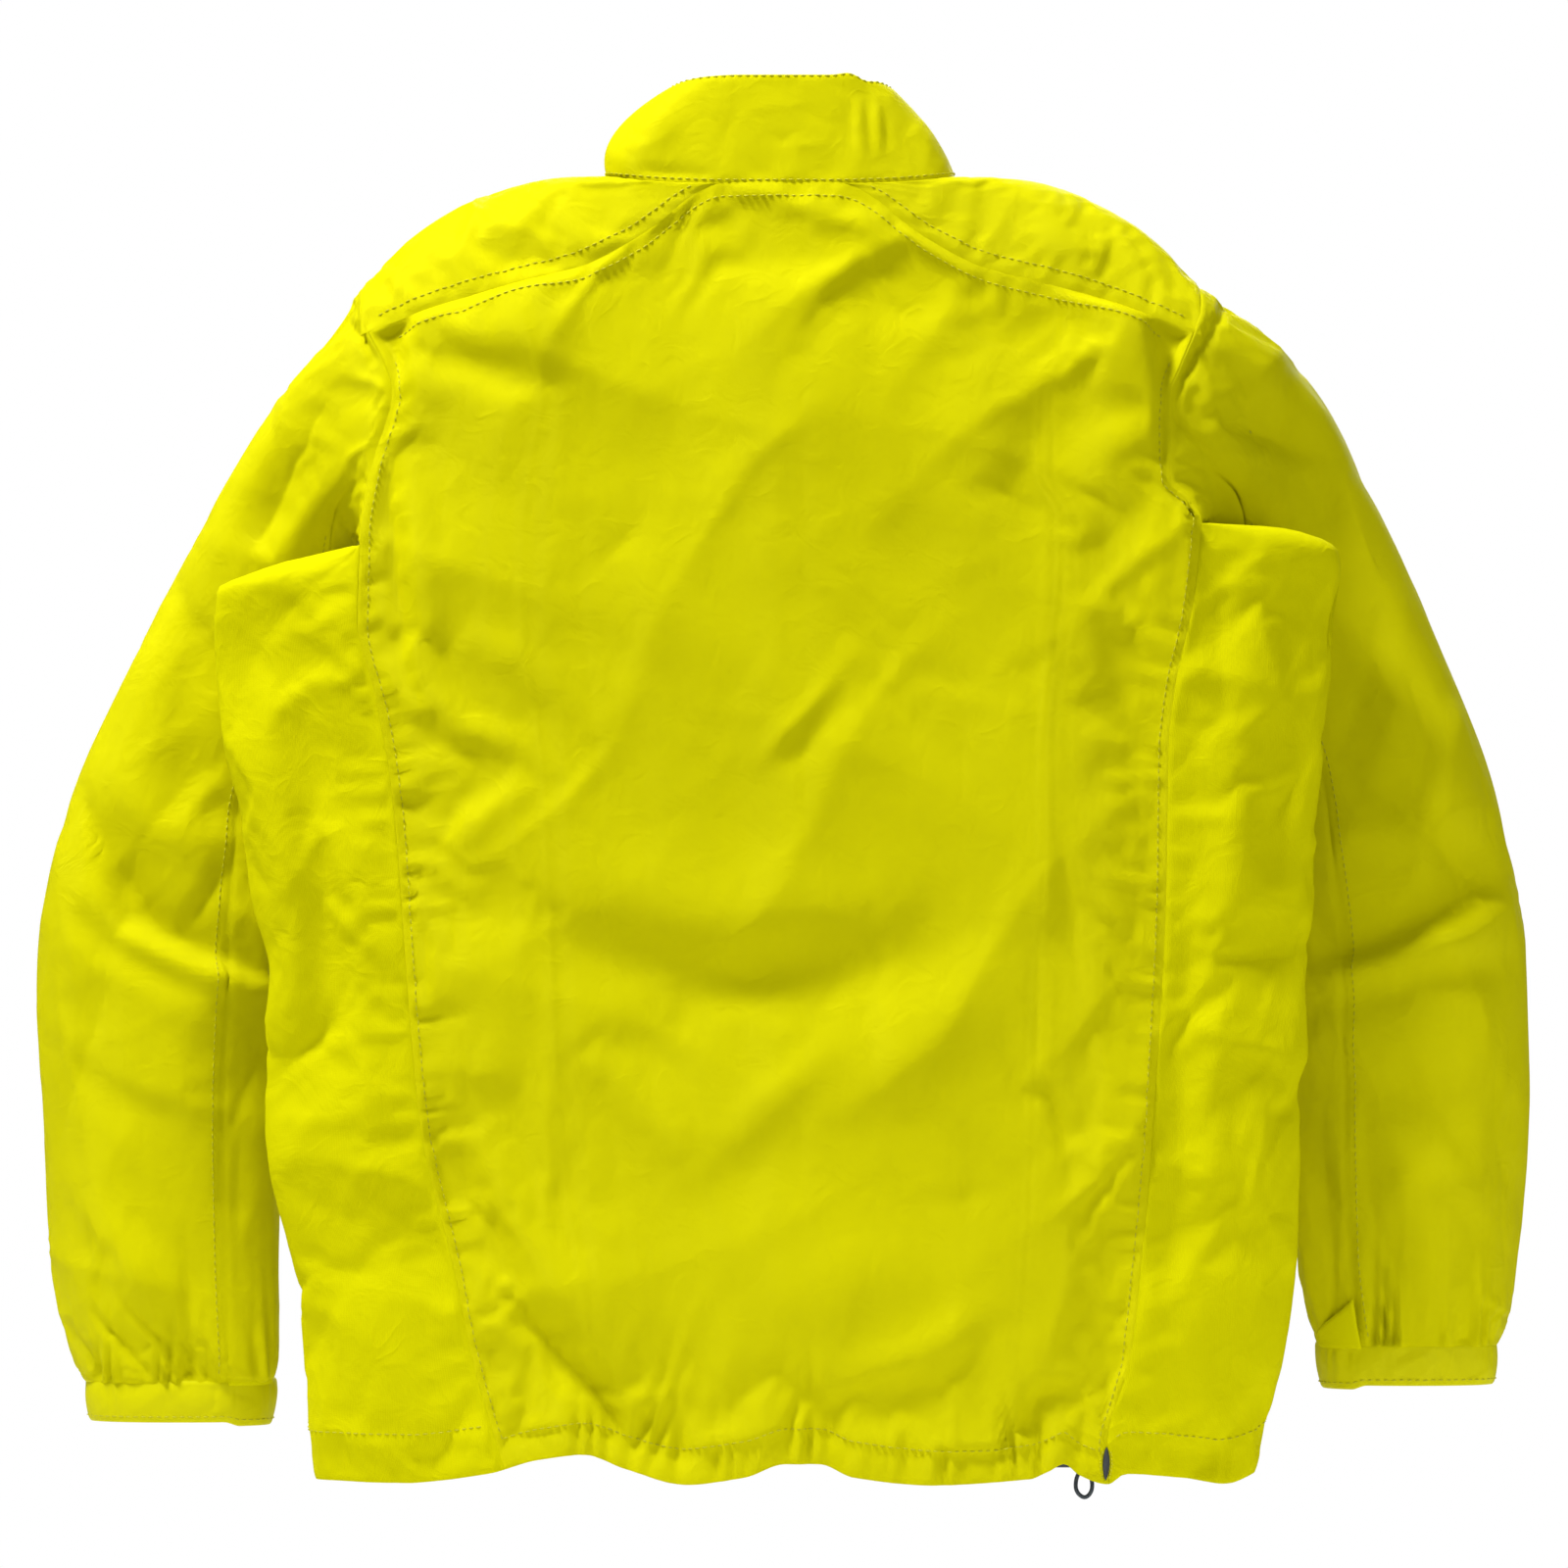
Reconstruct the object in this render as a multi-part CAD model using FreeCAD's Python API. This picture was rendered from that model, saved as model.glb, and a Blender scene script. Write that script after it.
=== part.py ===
import FreeCAD
import Part
import math
import os

# Insulated mid-layer ski jacket, hanging from its neck loop.
# Frame: +Z up, the wearer's back faces -Y, the front zip faces +Y, the wearer's left is -X.
# The origin is the point of the hang loop that rests on a hook.

V = FreeCAD.Vector
os.makedirs("parts", exist_ok=True)

# ---------------------------------------------------------------- driving dimensions (mm)
HEM_Z = -679.0           # lower edge of the body
ARMHOLE_X = 222.0        # plane where each sleeve is set in
UNDERARM_Z = -200.0      # top of the side panels
SHELL_T = 1.2            # outer cloth, with its seam turnings
FILL_D = (1.5, 4.5)      # insulation, depth below the outer face
LINING_D = (4.8, 5.8)    # lining, depth below the outer face
SEAM_GAP = 0.4           # half of the space left at a seam line
BACK_N = 2.6             # how square the back of the body section is
SHOULDER_POWER = 2.5     # how round the shoulders are
ZIP_Y = 82.0             # outer face of the centre front
ZIP_EDGE_X = 8.5         # turned edge of each front beside the zip
ZIP_TOP_Z = 3.0
HEM_TUNNEL_H = 20.0      # height of the drawcord tunnel
CORD_D = 2.2             # drawcord diameter

# (height, value) pairs down the body
HALF_WIDTH = ((-679, 250), (-591, 262), (-498, 273), (-420, 276), (-343, 285), (-260, 296),
              (-206, 299), (-185, 285), (-150, 268), (-110, 256), (-74, 241), (-48, 216),
              (-21, 185), (-1.5, 143), (2.6, 122), (4.2, 92))
BACK_Y = ((-679, -15), (-498, -18), (-369, -20), (-216, -20), (-110, -18), (-48, -14), (0, -10),
          (4.2, -9))
SIDE_Y = ((-679, 33), (-640, 29), (-560, 14), (-498, 10), (-420, 10), (-206, 10), (-150, 16), (-110, 21), (-74, 27), (-21, 33),
          (4.2, 36))
FRONT_Y = ((-679, ZIP_Y), (-62, ZIP_Y), (-30, 70), (-12, 58), (0, 47), (4.2, 38))
FRONT_N = ((-679, 2.5), (-590, 2.0), (-498, 1.85), (-420, 1.7), (-330, 1.4), (-260, 1.3), (-200, 1.35),
           (-170, 1.7), (-120, 2.2), (-74, 2.3), (4.2, 2.4))

BODY_CORE = V(0, 31, -300)
COLLAR_CORE = V(0, 38, -15)

# back seam of each side panel and the seam in front of it, as distance from the centre
SIDE_SEAM_BACK = {
    -1: ((-679, 146), (-619, 163), (-498, 190), (-353, 200), (-275, 213), (-234, 223), (-200, 222)),
    1: ((-679, 170), (-622, 182), (-498, 195), (-369, 203), (-265, 208), (-224, 217), (-200, 222)),
}
SIDE_SEAM_FRONT = ((-679, 185), (-498, 205), (-353, 215), (-275, 220), (-200, 222))
WING_TIP = ((-226, 298), (-215, 290), (-207, 262), (-200, 232))   # rounded top of the side panel

# back yoke seam and front yoke seam, as (distance from the centre, height)
YOKE_BACK_Z = ((0, -0.1), (30, -0.5), (76, -30), (105, -45), (140, -54), (185, -67), (222, -80))
YOKE_FRONT_Z = ((88, -12), (120, -34), (160, -58), (200, -82), (222, -95))
# front neck line, from the zip to the corner where the yoke begins
NECK_FRONT = ((ZIP_EDGE_X, -62), (40, -56), (66, -40), (80, -25), (88, -12))

# collar seam and collar edge round the left-hand half, from the centre back to the zip
COLLAR_BASE = ((0, -10, 0.6), (30, -9.6, 0.6), (58, -7.5, 1.6), (80, -1, 3.8), (91, 16, 5.8),
               (92.5, 36, 6.4), (90, 53, -7), (77, 67, -26), (45, 79.6, -52),
               (ZIP_EDGE_X, ZIP_Y, -60.5))
COLLAR_TOP = ((0, -5, 57), (22, -4.5, 57), (42, -1, 56), (54, 9, 53.5), (59, 22, 50), (59, 36, 44),
              (54, 51, 36), (44, 66, 26), (28, 78, 13), (ZIP_EDGE_X, ZIP_Y, 6))
COLLAR_BULGE = 7.0

# sleeve rings: centre x (outward), y, z, turn of the wide axis, half width, half depth
SLEEVE = {
    -1: ((223.8, 22, -118, 90, 59, 27), (231, 32, -130, 98, 53, 29), (246, 56, -154, 118, 47, 32),
         (263, 76, -199, 140, 49, 35), (296, 81, -265, 157, 51, 38), (319, 82, -343, 168, 62, 40),
         (328, 82, -420, 176, 69, 40), (329, 82, -498, 180, 66, 39), (327, 82, -575, 181, 63, 37),
         (323, 82, -618, 181, 57, 34), (320.5, 82, -637.5, 180, 51, 30)),
    1: ((223.8, 22, -116, 90, 59, 27), (234, 32, -122, 98, 55, 29), (256, 56, -146, 118, 50, 32),
        (273, 76, -192, 140, 52, 35), (299, 81, -260, 157, 54, 38), (322, 82, -337, 168, 61, 40),
        (331, 82, -410, 176, 67, 40), (332.5, 82, -487, 180, 67, 39), (332.5, 82, -558, 181, 63, 37),
        (334, 82, -600, 181, 56, 34), (334, 82, -618, 180, 48.5, 30)),
}
SLEEVE_N = 2.3
CUFF_H = 19.5
CUFF_BOTTOM = {-1: (321, 48.5, 29), 1: (335, 46, 29)}
UNDER_SEAM_DEG = (117.0, 243.0)     # the two seams of the under-sleeve panel round the ring
GUSSET_H = 26.0                     # how far the cuff gusset rises beside the back seam


# ---------------------------------------------------------------- small helpers
def smooth(table, at):
    """Value of a table of (position, value) pairs, with no overshoot between its entries."""
    xs = [float(row[0]) for row in table]
    ys = [float(row[1]) for row in table]
    if at <= xs[0]:
        return ys[0]
    if at >= xs[-1]:
        return ys[-1]
    slopes = [(ys[i + 1] - ys[i]) / (xs[i + 1] - xs[i]) for i in range(len(xs) - 1)]
    tangents = [slopes[0]]
    for left, right in zip(slopes, slopes[1:]):
        same_way = left * right > 0
        tangents.append(2 * left * right / (left + right) if same_way else 0.0)
    tangents.append(slopes[-1])
    i = max(k for k in range(len(xs) - 1) if xs[k] <= at)
    step = xs[i + 1] - xs[i]
    t = (at - xs[i]) / step
    return ((2 * t**3 - 3 * t**2 + 1) * ys[i] + (t**3 - 2 * t**2 + t) * step * tangents[i]
            + (-2 * t**3 + 3 * t**2) * ys[i + 1] + (t**3 - t**2) * step * tangents[i + 1])


def along(points, t):
    """Point at fraction t of a list of coordinate rows that are evenly spread in t."""
    columns = list(zip(*points))
    last = len(points) - 1
    return [smooth([(k / last, value) for k, value in enumerate(column)], t) for column in columns]


def span(low, high, count):
    """Evenly spread numbers from low to high."""
    return [low + (high - low) * k / (count - 1) for k in range(count)]


def mirrored(shape):
    """The shape on the other side of the centre plane."""
    return shape.mirror(V(0, 0, 0), V(1, 0, 0))


def box(x0, x1, y0, y1, z0, z1):
    """Box between two corners."""
    return Part.makeBox(x1 - x0, y1 - y0, z1 - z0, V(x0, y0, z0))


def cylinder(radius, length, start, axis):
    """Round bar from a start point along an axis."""
    return Part.makeCylinder(radius, length, start, axis)


def grid_normals(grid):
    """Unit normals of a grid of points, by differences between neighbours."""
    rows = len(grid)
    cols = len(grid[0])
    normals = []
    for i in range(rows):
        line = []
        for j in range(cols):
            du = grid[min(i + 1, rows - 1)][j] - grid[max(i - 1, 0)][j]
            dv = grid[i][min(j + 1, cols - 1)] - grid[i][max(j - 1, 0)]
            normal = du.cross(dv)
            normal.normalize()
            line.append(normal)
        normals.append(line)
    return normals


def rim(edge, other):
    """Ruled face between matching edges, of the two ways round the one that isn't twisted."""
    ways = [Part.makeRuledSurface(edge, other), Part.makeRuledSurface(edge, other.reversed())]
    return min(ways, key=lambda face: face.Area)


def cloth(grid, depth_from, depth_to, core):
    """Closed sheet of cloth between two depths below a grid of points, towards a core point."""
    normals = grid_normals(grid)
    facing = sum(n.dot(core - p) for points, line in zip(grid, normals) for p, n in zip(points, line))
    inward = 1 if facing > 0 else -1
    faces = []
    for depth in (depth_from, depth_to):
        shifted = [[p + n * (inward * depth) for p, n in zip(points, line)]
                   for points, line in zip(grid, normals)]
        surface = Part.BSplineSurface()
        surface.interpolate(shifted)
        faces.append(surface.toShape())
    rims = [rim(a, b) for a, b in zip(faces[0].Edges, faces[1].Edges)]
    shell = Part.Shell(Part.makeCompound(faces + rims).Faces)
    shell.sewShape()
    solid = Part.Solid(shell)
    if solid.Volume < 0:
        solid.reverse()
    return solid


def tube(points, radius):
    """Round cord whose path is straight runs joined by tangent arcs, one at each inner point."""
    edges = []
    last = points[0]
    for before, corner, after in zip(points, points[1:], points[2:]):
        back = before - corner
        ahead = after - corner
        reach = 0.45 * min(back.Length, ahead.Length)
        back.normalize()
        ahead.normalize()
        half_open = 0.5 * back.getAngle(ahead)
        arc_radius = reach * math.tan(half_open)
        towards = (back + ahead).normalize()
        middle = corner + towards * (arc_radius / math.sin(half_open) - arc_radius)
        start = corner + back * reach
        stop = corner + ahead * reach
        edges.append(Part.LineSegment(last, start).toShape())
        edges.append(Part.Arc(start, middle, stop).toShape())
        last = stop
    edges.append(Part.LineSegment(last, points[-1]).toShape())
    path = Part.Wire(edges)
    first = points[1] - points[0]
    ring = Part.Wire(Part.Circle(points[0], first, radius).toShape())
    solid = path.makePipeShell([ring], True, True)
    ratio = solid.Volume / (math.pi * radius**2 * path.Length)
    print("cord of", round(path.Length, 1), "mm, volume ratio", round(ratio, 3))
    return solid


# ---------------------------------------------------------------- surfaces of the body
def back_y(x, z):
    """Outer face of the back at a point of the elevation."""
    share = min(abs(x) / smooth(HALF_WIDTH, z), 0.9999)
    side = smooth(SIDE_Y, z)
    return side - (side - smooth(BACK_Y, z)) * (1 - share**BACK_N) ** (1 / BACK_N)


def front_y(x, z):
    """Outer face of the front at a point of the elevation."""
    power = smooth(FRONT_N, z)
    share = min(abs(x) / smooth(HALF_WIDTH, z), 0.9999)
    side = smooth(SIDE_Y, z)
    return side + (smooth(FRONT_Y, z) - side) * (1 - share**power) ** (1 / power)


def ridge_z(x):
    """Height of the shoulder line at a distance from the centre."""
    low, high = -206.0, 4.2
    if abs(x) <= 92:
        return high
    for _ in range(40):
        middle = 0.5 * (low + high)
        if smooth(HALF_WIDTH, middle) > abs(x):
            low = middle
        else:
            high = middle
    return low


def back_end_x(side, z):
    """Where the back panel ends: side seam, then armhole."""
    return smooth(SIDE_SEAM_BACK[side], z) if z < UNDERARM_Z else ARMHOLE_X


def front_end_x(z):
    """Where a front panel ends: side seam, then armhole."""
    return smooth(SIDE_SEAM_FRONT, z) if z < UNDERARM_Z else ARMHOLE_X


def back_grid(low, edge, top_drop=0.0):
    """Grid over the back panel, from a lower height, kept an edge distance inside its seams."""
    grid = []
    for v in span(0, 1, 41):
        row = []
        for q in span(-1, 1, 27):
            side = -1 if q < 0 else 1
            top = smooth(YOKE_BACK_Z, abs(q) * ARMHOLE_X) - edge - top_drop
            z = low + v * (top - low)
            x = q * (back_end_x(side, z) - edge)
            row.append(V(x, back_y(x, z), z))
        grid.append(row)
    return grid


def front_top(q):
    """Upper edge of a front panel: the neck line, then the front yoke seam."""
    corner = 0.42
    if q <= corner:
        return along(NECK_FRONT, q / corner)
    x = NECK_FRONT[-1][0] + (ARMHOLE_X - NECK_FRONT[-1][0]) * (q - corner) / (1 - corner)
    return [x, smooth(YOKE_FRONT_Z, x)]


def front_grid(low, edge, inner_x=ZIP_EDGE_X, top_drop=0.0):
    """Grid over the right front panel."""
    grid = []
    for v in span(0, 1, 35):
        row = []
        for q in span(0, 1, 21):
            top_x, top_z = front_top(q)
            z = low + v * (top_z - edge - top_drop - low)
            share = (top_x - ZIP_EDGE_X) / (ARMHOLE_X - ZIP_EDGE_X)
            x = inner_x + share * (front_end_x(z) - edge - inner_x)
            row.append(V(x, front_y(x, z), z))
        grid.append(row)
    return grid


def side_grid(side, low, high, edge):
    """Grid round one side panel, from its back seam over the side to its front seam."""
    grid = []
    for z in span(low, high, 41):
        tip = smooth(WING_TIP, z) if z > WING_TIP[0][0] else smooth(HALF_WIDTH, z)
        side_y = smooth(SIDE_Y, z)
        x_back = min(smooth(SIDE_SEAM_BACK[side], z) + edge, tip - 3)
        x_front = min(smooth(SIDE_SEAM_FRONT, z) + edge, tip - 3)
        row = []
        for start, power, face in ((x_back, BACK_N, back_y), (x_front, smooth(FRONT_N, z), front_y)):
            reach = (1 - (start / tip) ** power) ** (1 / power)
            first = math.asin(min(1.0, (start / tip) ** (power / 2)))
            arc = []
            for angle in span(first, math.pi / 2, 10):
                x = tip * math.sin(angle) ** (2 / power)
                share = max(0.0, 1 - (x / tip) ** power) ** (1 / power) / reach
                arc.append(V(side * x, side_y + (face(start, z) - side_y) * share, z))
            row.append(arc)
        grid.append(row[0] + row[1][-2::-1])
    return grid


def yoke_point(x, root):
    """Point of the right shoulder; root is the signed root of its drop (negative: behind)."""
    z = ridge_z(x) - abs(root) ** SHOULDER_POWER
    face = back_y if root < 0 else front_y
    return V(x, face(x, z), z)


def root_of(drop):
    """Root of a drop below the shoulder line, in which the rounded shoulder is even."""
    return math.copysign(abs(drop) ** (1 / SHOULDER_POWER), drop)


def yoke_grid(edge):
    """Grid over the right shoulder yoke: neck to armhole, and back seam to front seam."""
    first = root_of(-4.7)
    neck = ((30, first), (54, 0.95 * first), (73, 0.8 * first), (85, 0.55 * first), (91, 0.25 * first),
            (92, 0.3), (91.5, 1.1), (90.5, 2.0), (88, root_of(16.2)))
    out_x = ARMHOLE_X - edge
    back_root = root_of(smooth(YOKE_BACK_Z, out_x) - ridge_z(out_x))
    front_root = root_of(ridge_z(out_x) - smooth(YOKE_FRONT_Z, out_x))

    def armhole(w):
        return (out_x, back_root + (front_root - back_root) * w)

    def back_seam(u):
        x = 30 + (out_x - 30) * u
        return (x, root_of(smooth(YOKE_BACK_Z, x) - ridge_z(x)))

    def front_seam(u):
        x = 88 + (out_x - 88) * u
        return (x, root_of(ridge_z(x) - smooth(YOKE_FRONT_Z, x)))

    grid = []
    for u in span(0, 1, 19):
        row = []
        for w in span(0.004, 0.996, 23):
            sides = [along(neck, w), armhole(w), back_seam(u), front_seam(u)]
            corners = [back_seam(0), front_seam(0), back_seam(1), front_seam(1)]
            pair = []
            for k in range(2):
                value = (1 - u) * sides[0][k] + u * sides[1][k] + (1 - w) * sides[2][k] + w * sides[3][k]
                value -= (1 - u) * ((1 - w) * corners[0][k] + w * corners[1][k])
                value -= u * ((1 - w) * corners[2][k] + w * corners[3][k])
                pair.append(value)
            row.append(yoke_point(pair[0], pair[1]))
        grid.append(row)
    return grid


def collar_grid():
    """Grid round the collar from the left zip edge over the back to the right zip edge."""
    grid = []
    for v in span(0, 1, 9):
        row = []
        for t in span(-1, 1, 41):
            side = -1 if t < 0 else 1
            base = along(COLLAR_BASE, abs(t))
            top = along(COLLAR_TOP, abs(t))
            point = [b + (c - b) * v for b, c in zip(base, top)]
            swell = COLLAR_BULGE * 4 * v * (1 - v) * math.sin(math.pi * min(abs(t) * 1.1, 1.0)) ** 2
            row.append(V(side * (point[0] + swell), point[1], point[2]))
        grid.append(row)
    return grid


# ---------------------------------------------------------------- surfaces of the sleeves
def ring_point(side, ring, angle):
    """Point of a sleeve ring; the angle runs from the outer edge round by the back."""
    x, y, z, turn, wide, deep = ring
    c = math.cos(math.radians(angle))
    s = math.sin(math.radians(angle))
    power = 2 / SLEEVE_N
    across = math.copysign(abs(c) ** power, c) * wide
    down = math.copysign(abs(s) ** power, s) * deep
    turn = math.radians(turn)
    return V(side * (x - across * math.cos(turn)), y - down, z + across * math.sin(turn))


def sleeve_grid(side, first, last, start, end, rows=33, cols=25, rise=None):
    """Grid on a sleeve between two fractions of its length and two angles round it."""
    grid = []
    for angle in span(start, end, cols):
        line = []
        stop = last - (rise(angle) if rise else 0.0)
        for t in span(first, stop, rows):
            line.append(ring_point(side, along(SLEEVE[side], t), angle))
        grid.append(line)
    return grid


def gusset_rise(angle):
    """Height of the cuff gusset above the cuff line at an angle round the sleeve."""
    away = abs(angle - 180.0) / (180.0 - UNDER_SEAM_DEG[0])
    return GUSSET_H * min(away, 1.0) * 0.8 + GUSSET_H * 0.2


def sleeve_length_share(side, height):
    """Share of the sleeve's ring table that a height above the cuff line stands for."""
    low = SLEEVE[side][-1][2]
    previous = SLEEVE[side][-2][2]
    before = SLEEVE[side][-3][2]
    if height <= previous - low:
        return 0.1 * height / (previous - low)
    return 0.1 + 0.1 * (height - (previous - low)) / (before - previous)


def cuff_grid(side, start, end, rise=0.0, cols=21, shrink=0.6):
    """Grid on the cuff between two angles, from its lower edge up to the sleeve."""
    x, wide, deep = CUFF_BOTTOM[side]
    top = SLEEVE[side][-1]
    grid = []
    for angle in span(start, end, cols):
        line = []
        for v in span(0, 1, 7):
            ring = (x + (top[0] - x) * v, top[1], top[2] - CUFF_H + (CUFF_H - 0.6) * v, 180,
                    wide + (top[4] - shrink - wide) * v, deep + (top[5] - shrink - deep) * v)
            line.append(ring_point(side, ring, angle))
        if rise:
            share = sleeve_length_share(side, gusset_rise(angle)) * 0.96
            for t in span(1 - share * 0.5, 1 - share, 2):
                line.append(ring_point(side, along(SLEEVE[side], t), angle))
        grid.append(line)
    return grid


def sleeve_parts(side):
    """Outer cloth, under panel, lining, cuff band and cuff gusset of one sleeve."""
    back_seam, front_seam = UNDER_SEAM_DEG
    middle = SLEEVE[side][6]
    core = V(side * middle[0], middle[1], middle[2])
    outer = cloth(sleeve_grid(side, 0, 1, front_seam - 360 + 0.6, back_seam - 0.6, cols=33), 0, SHELL_T, core)

    def bottom(angle):
        return sleeve_length_share(side, gusset_rise(angle))

    under = cloth(sleeve_grid(side, 0, 1, back_seam, front_seam, rise=bottom), 0, SHELL_T, core)
    lining = cloth(sleeve_grid(side, 0.02, 0.97, 2, 358, rows=25, cols=41), 2.4, 3.2, core)
    end = SLEEVE[side][-1]
    core = V(side * end[0], end[1], end[2])
    band = cloth(cuff_grid(side, front_seam - 360 + 0.6, back_seam - 0.6, cols=27), 0, 1.6, core)
    gusset = cloth(cuff_grid(side, back_seam, front_seam, rise=1.0), 0, 1.4, core)
    return {"outer": outer, "under": under, "lining": lining, "cuff_band": band, "cuff_gusset": gusset}


def save(name, shape):
    """Write one sub-part."""
    if isinstance(shape, list):
        shape = Part.makeCompound(shape)
    shape.exportStep(os.path.join("parts", name + ".step"))
    print(name, "ok" if shape.isValid() else "NOT VALID", round(shape.Volume / 1000.0, 2), "cm3")


# ---------------------------------------------------------------- zips, all about their own line
TAPE_Y = (-4.1, -3.4)        # depths measured from the outer face of the cloth
COIL_Y = (-5.0, -1.7)
COIL_X = (0.9, 3.0)
SLIDER_HALF = 7.0
PULL_BAR_Y = 3.4             # the pull swings about this bar in front of the slider


def zip_coil(side, low, high):
    """One half of the fastening coil, with a chamfered front."""
    x0, x1 = COIL_X
    strip = box(x0, x1, COIL_Y[0], COIL_Y[1], low, high)
    edges = [e for e in strip.Edges if e.Length > 10]
    strip = strip.makeFillet(0.5, edges)
    return strip if side > 0 else mirrored(strip)


def zip_tape(side, low, high, width):
    """Woven tape beside one half of the coil."""
    strip = box(COIL_X[1] + 0.05, width, TAPE_Y[0], TAPE_Y[1], low, high)
    return strip if side > 0 else mirrored(strip)


def zip_slider(z):
    """Slider: front and back plates joined by a post, side flanges, and a bar for the pull."""
    front = box(-5, 5, -1.1, 0.6, z - SLIDER_HALF, z + SLIDER_HALF)
    front = front.makeFillet(2.2, [e for e in front.Edges if abs(e.Length - 1.7) < 0.01])
    back = box(-4.4, 4.4, -7.2, -5.6, z - SLIDER_HALF, z + SLIDER_HALF)
    back = back.makeFillet(2.2, [e for e in back.Edges if abs(e.Length - 1.6) < 0.01])
    post = box(-0.5, 0.5, -5.6, -1.1, z + SLIDER_HALF - 4.5, z + SLIDER_HALF - 0.5)
    parts = [back, post]
    for side in (-1, 1):
        parts.append(box(min(side * 3.4, side * 4.8), max(side * 3.4, side * 4.8), -3.0, -1.0,
                         z - 5.0, z + 5.0))
        lug = box(min(side * 2.1, side * 3.2), max(side * 2.1, side * 3.2), 0.5, 4.7, z - 1.9, z + 1.9)
        parts.append(lug)
    parts.append(cylinder(0.8, 5.4, V(-2.7, PULL_BAR_Y, z), V(1, 0, 0)))
    return front.multiFuse(parts).removeSplitter()


def zip_pull(z, length):
    """Pull tab with the eye that goes round the slider's bar."""
    eye = cylinder(2.2, 3.0, V(-1.5, PULL_BAR_Y, z), V(1, 0, 0))
    neck = box(-1.5, 1.5, PULL_BAR_Y - 0.7, PULL_BAR_Y + 0.7, z - 5.5, z)
    tab = box(-3.6, 3.6, PULL_BAR_Y - 0.7, PULL_BAR_Y + 0.7, z - length, z - 4.2)
    tab = tab.makeFillet(1.8, [e for e in tab.Edges if abs(e.Length - 1.4) < 0.01])
    hole = cylinder(1.15, 8.0, V(-4, PULL_BAR_Y, z), V(1, 0, 0))
    slot = box(-1.6, 1.6, PULL_BAR_Y - 2, PULL_BAR_Y + 2, z - length + 3.5, z - length + 9.5)
    return eye.multiFuse([neck, tab]).cut(hole).cut(slot)


def main_zip():
    """Parts of the front zip, which runs straight down the centre front."""
    low, high = HEM_Z + 9.5, ZIP_TOP_Z
    rest = -5.0
    socket = box(0.5, 3.1, -5.1, -1.9, HEM_Z + 2, HEM_Z + 10)
    parts = {
        "main_zip_tape_left": zip_tape(-1, low, high + 2.5, 12.0),
        "main_zip_tape_right": zip_tape(1, low, high + 2.5, 12.0),
        "main_zip_coil_left": zip_coil(-1, low, high),
        "main_zip_coil_right": zip_coil(1, low + 6.0, high),
        "main_zip_box": box(-5, 4.8, -6, -1, HEM_Z + 1, HEM_Z + 9).cut(socket),
        "main_zip_pin": box(0.9, 2.7, -4.7, -2.3, HEM_Z + 2.5, low + 5.7),
        "main_zip_stop_left": box(-3.0, -0.9, -5.4, -1.4, high + 0.3, high + 2.2),
        "main_zip_stop_right": box(0.9, 3.0, -5.4, -1.4, high + 0.3, high + 2.2),
        "main_zip_slider": zip_slider(rest),
        "main_zip_pull": zip_pull(rest, 30.0),
    }
    for shape in parts.values():
        shape.translate(V(0, ZIP_Y, 0))
    return parts


# ---------------------------------------------------------------- hand pockets
POCKET_TOP = (150.0, -408.0)      # ends of the right pocket zip in the elevation
POCKET_LOW = (170.0, -556.0)
POCKET_SLOT = 5.8                 # half width of the slot between its turned edges


def pocket_frame():
    """Origin, across, outward and up directions of the right pocket zip, and half its length."""
    top = V(POCKET_TOP[0], front_y(*POCKET_TOP), POCKET_TOP[1])
    low = V(POCKET_LOW[0], front_y(*POCKET_LOW), POCKET_LOW[1])
    up = (top - low).normalize()
    x, z = 0.5 * (top.x + low.x), 0.5 * (top.z + low.z)
    slope = (front_y(x + 4, z) - front_y(x - 4, z)) / 8
    across = V(1, slope, 0)
    across = (across - up * across.dot(up)).normalize()
    outward = up.cross(across).normalize()
    return V(x, front_y(x, z), z), across, outward, up, 0.5 * (top - low).Length


def pocket_place(shape):
    """Carry a shape from the zip's own frame to the right pocket."""
    origin, across, outward, up, _ = pocket_frame()
    shape = shape.copy()
    shape.Placement = FreeCAD.Placement(origin, FreeCAD.Rotation(across, outward, up, "ZXY"))
    return shape


def pocket_zip():
    """Parts of the right pocket zip."""
    half = pocket_frame()[4]
    rest = half - SLIDER_HALF - 2.0
    frame = box(-9, 9, TAPE_Y[0], TAPE_Y[1], -half - 7, half + 7)
    frame = frame.cut(box(-3.05, 3.05, -6, 0, -half, half))
    return {
        "tape": pocket_place(frame),
        "coil_inner": pocket_place(zip_coil(-1, -half + 0.4, half - 0.4)),
        "coil_outer": pocket_place(zip_coil(1, -half + 0.4, half - 0.4)),
        "slider": pocket_place(zip_slider(rest)),
        "pull": pocket_place(zip_pull(rest, 24.0)),
    }


def pocket_bag():
    """Flat pouch behind the right pocket zip."""
    grid = [[V(x, front_y(x, z), z) for x in span(98, 192, 15)] for z in span(-612, -380, 25)]
    return cloth(grid, 10.2, 11.4, BODY_CORE)


# ---------------------------------------------------------------- hem, drawcord and cord lock
LOCK = V(160.0, 8.5, HEM_Z + 7.0)
LOCK_R = 6.0


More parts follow.
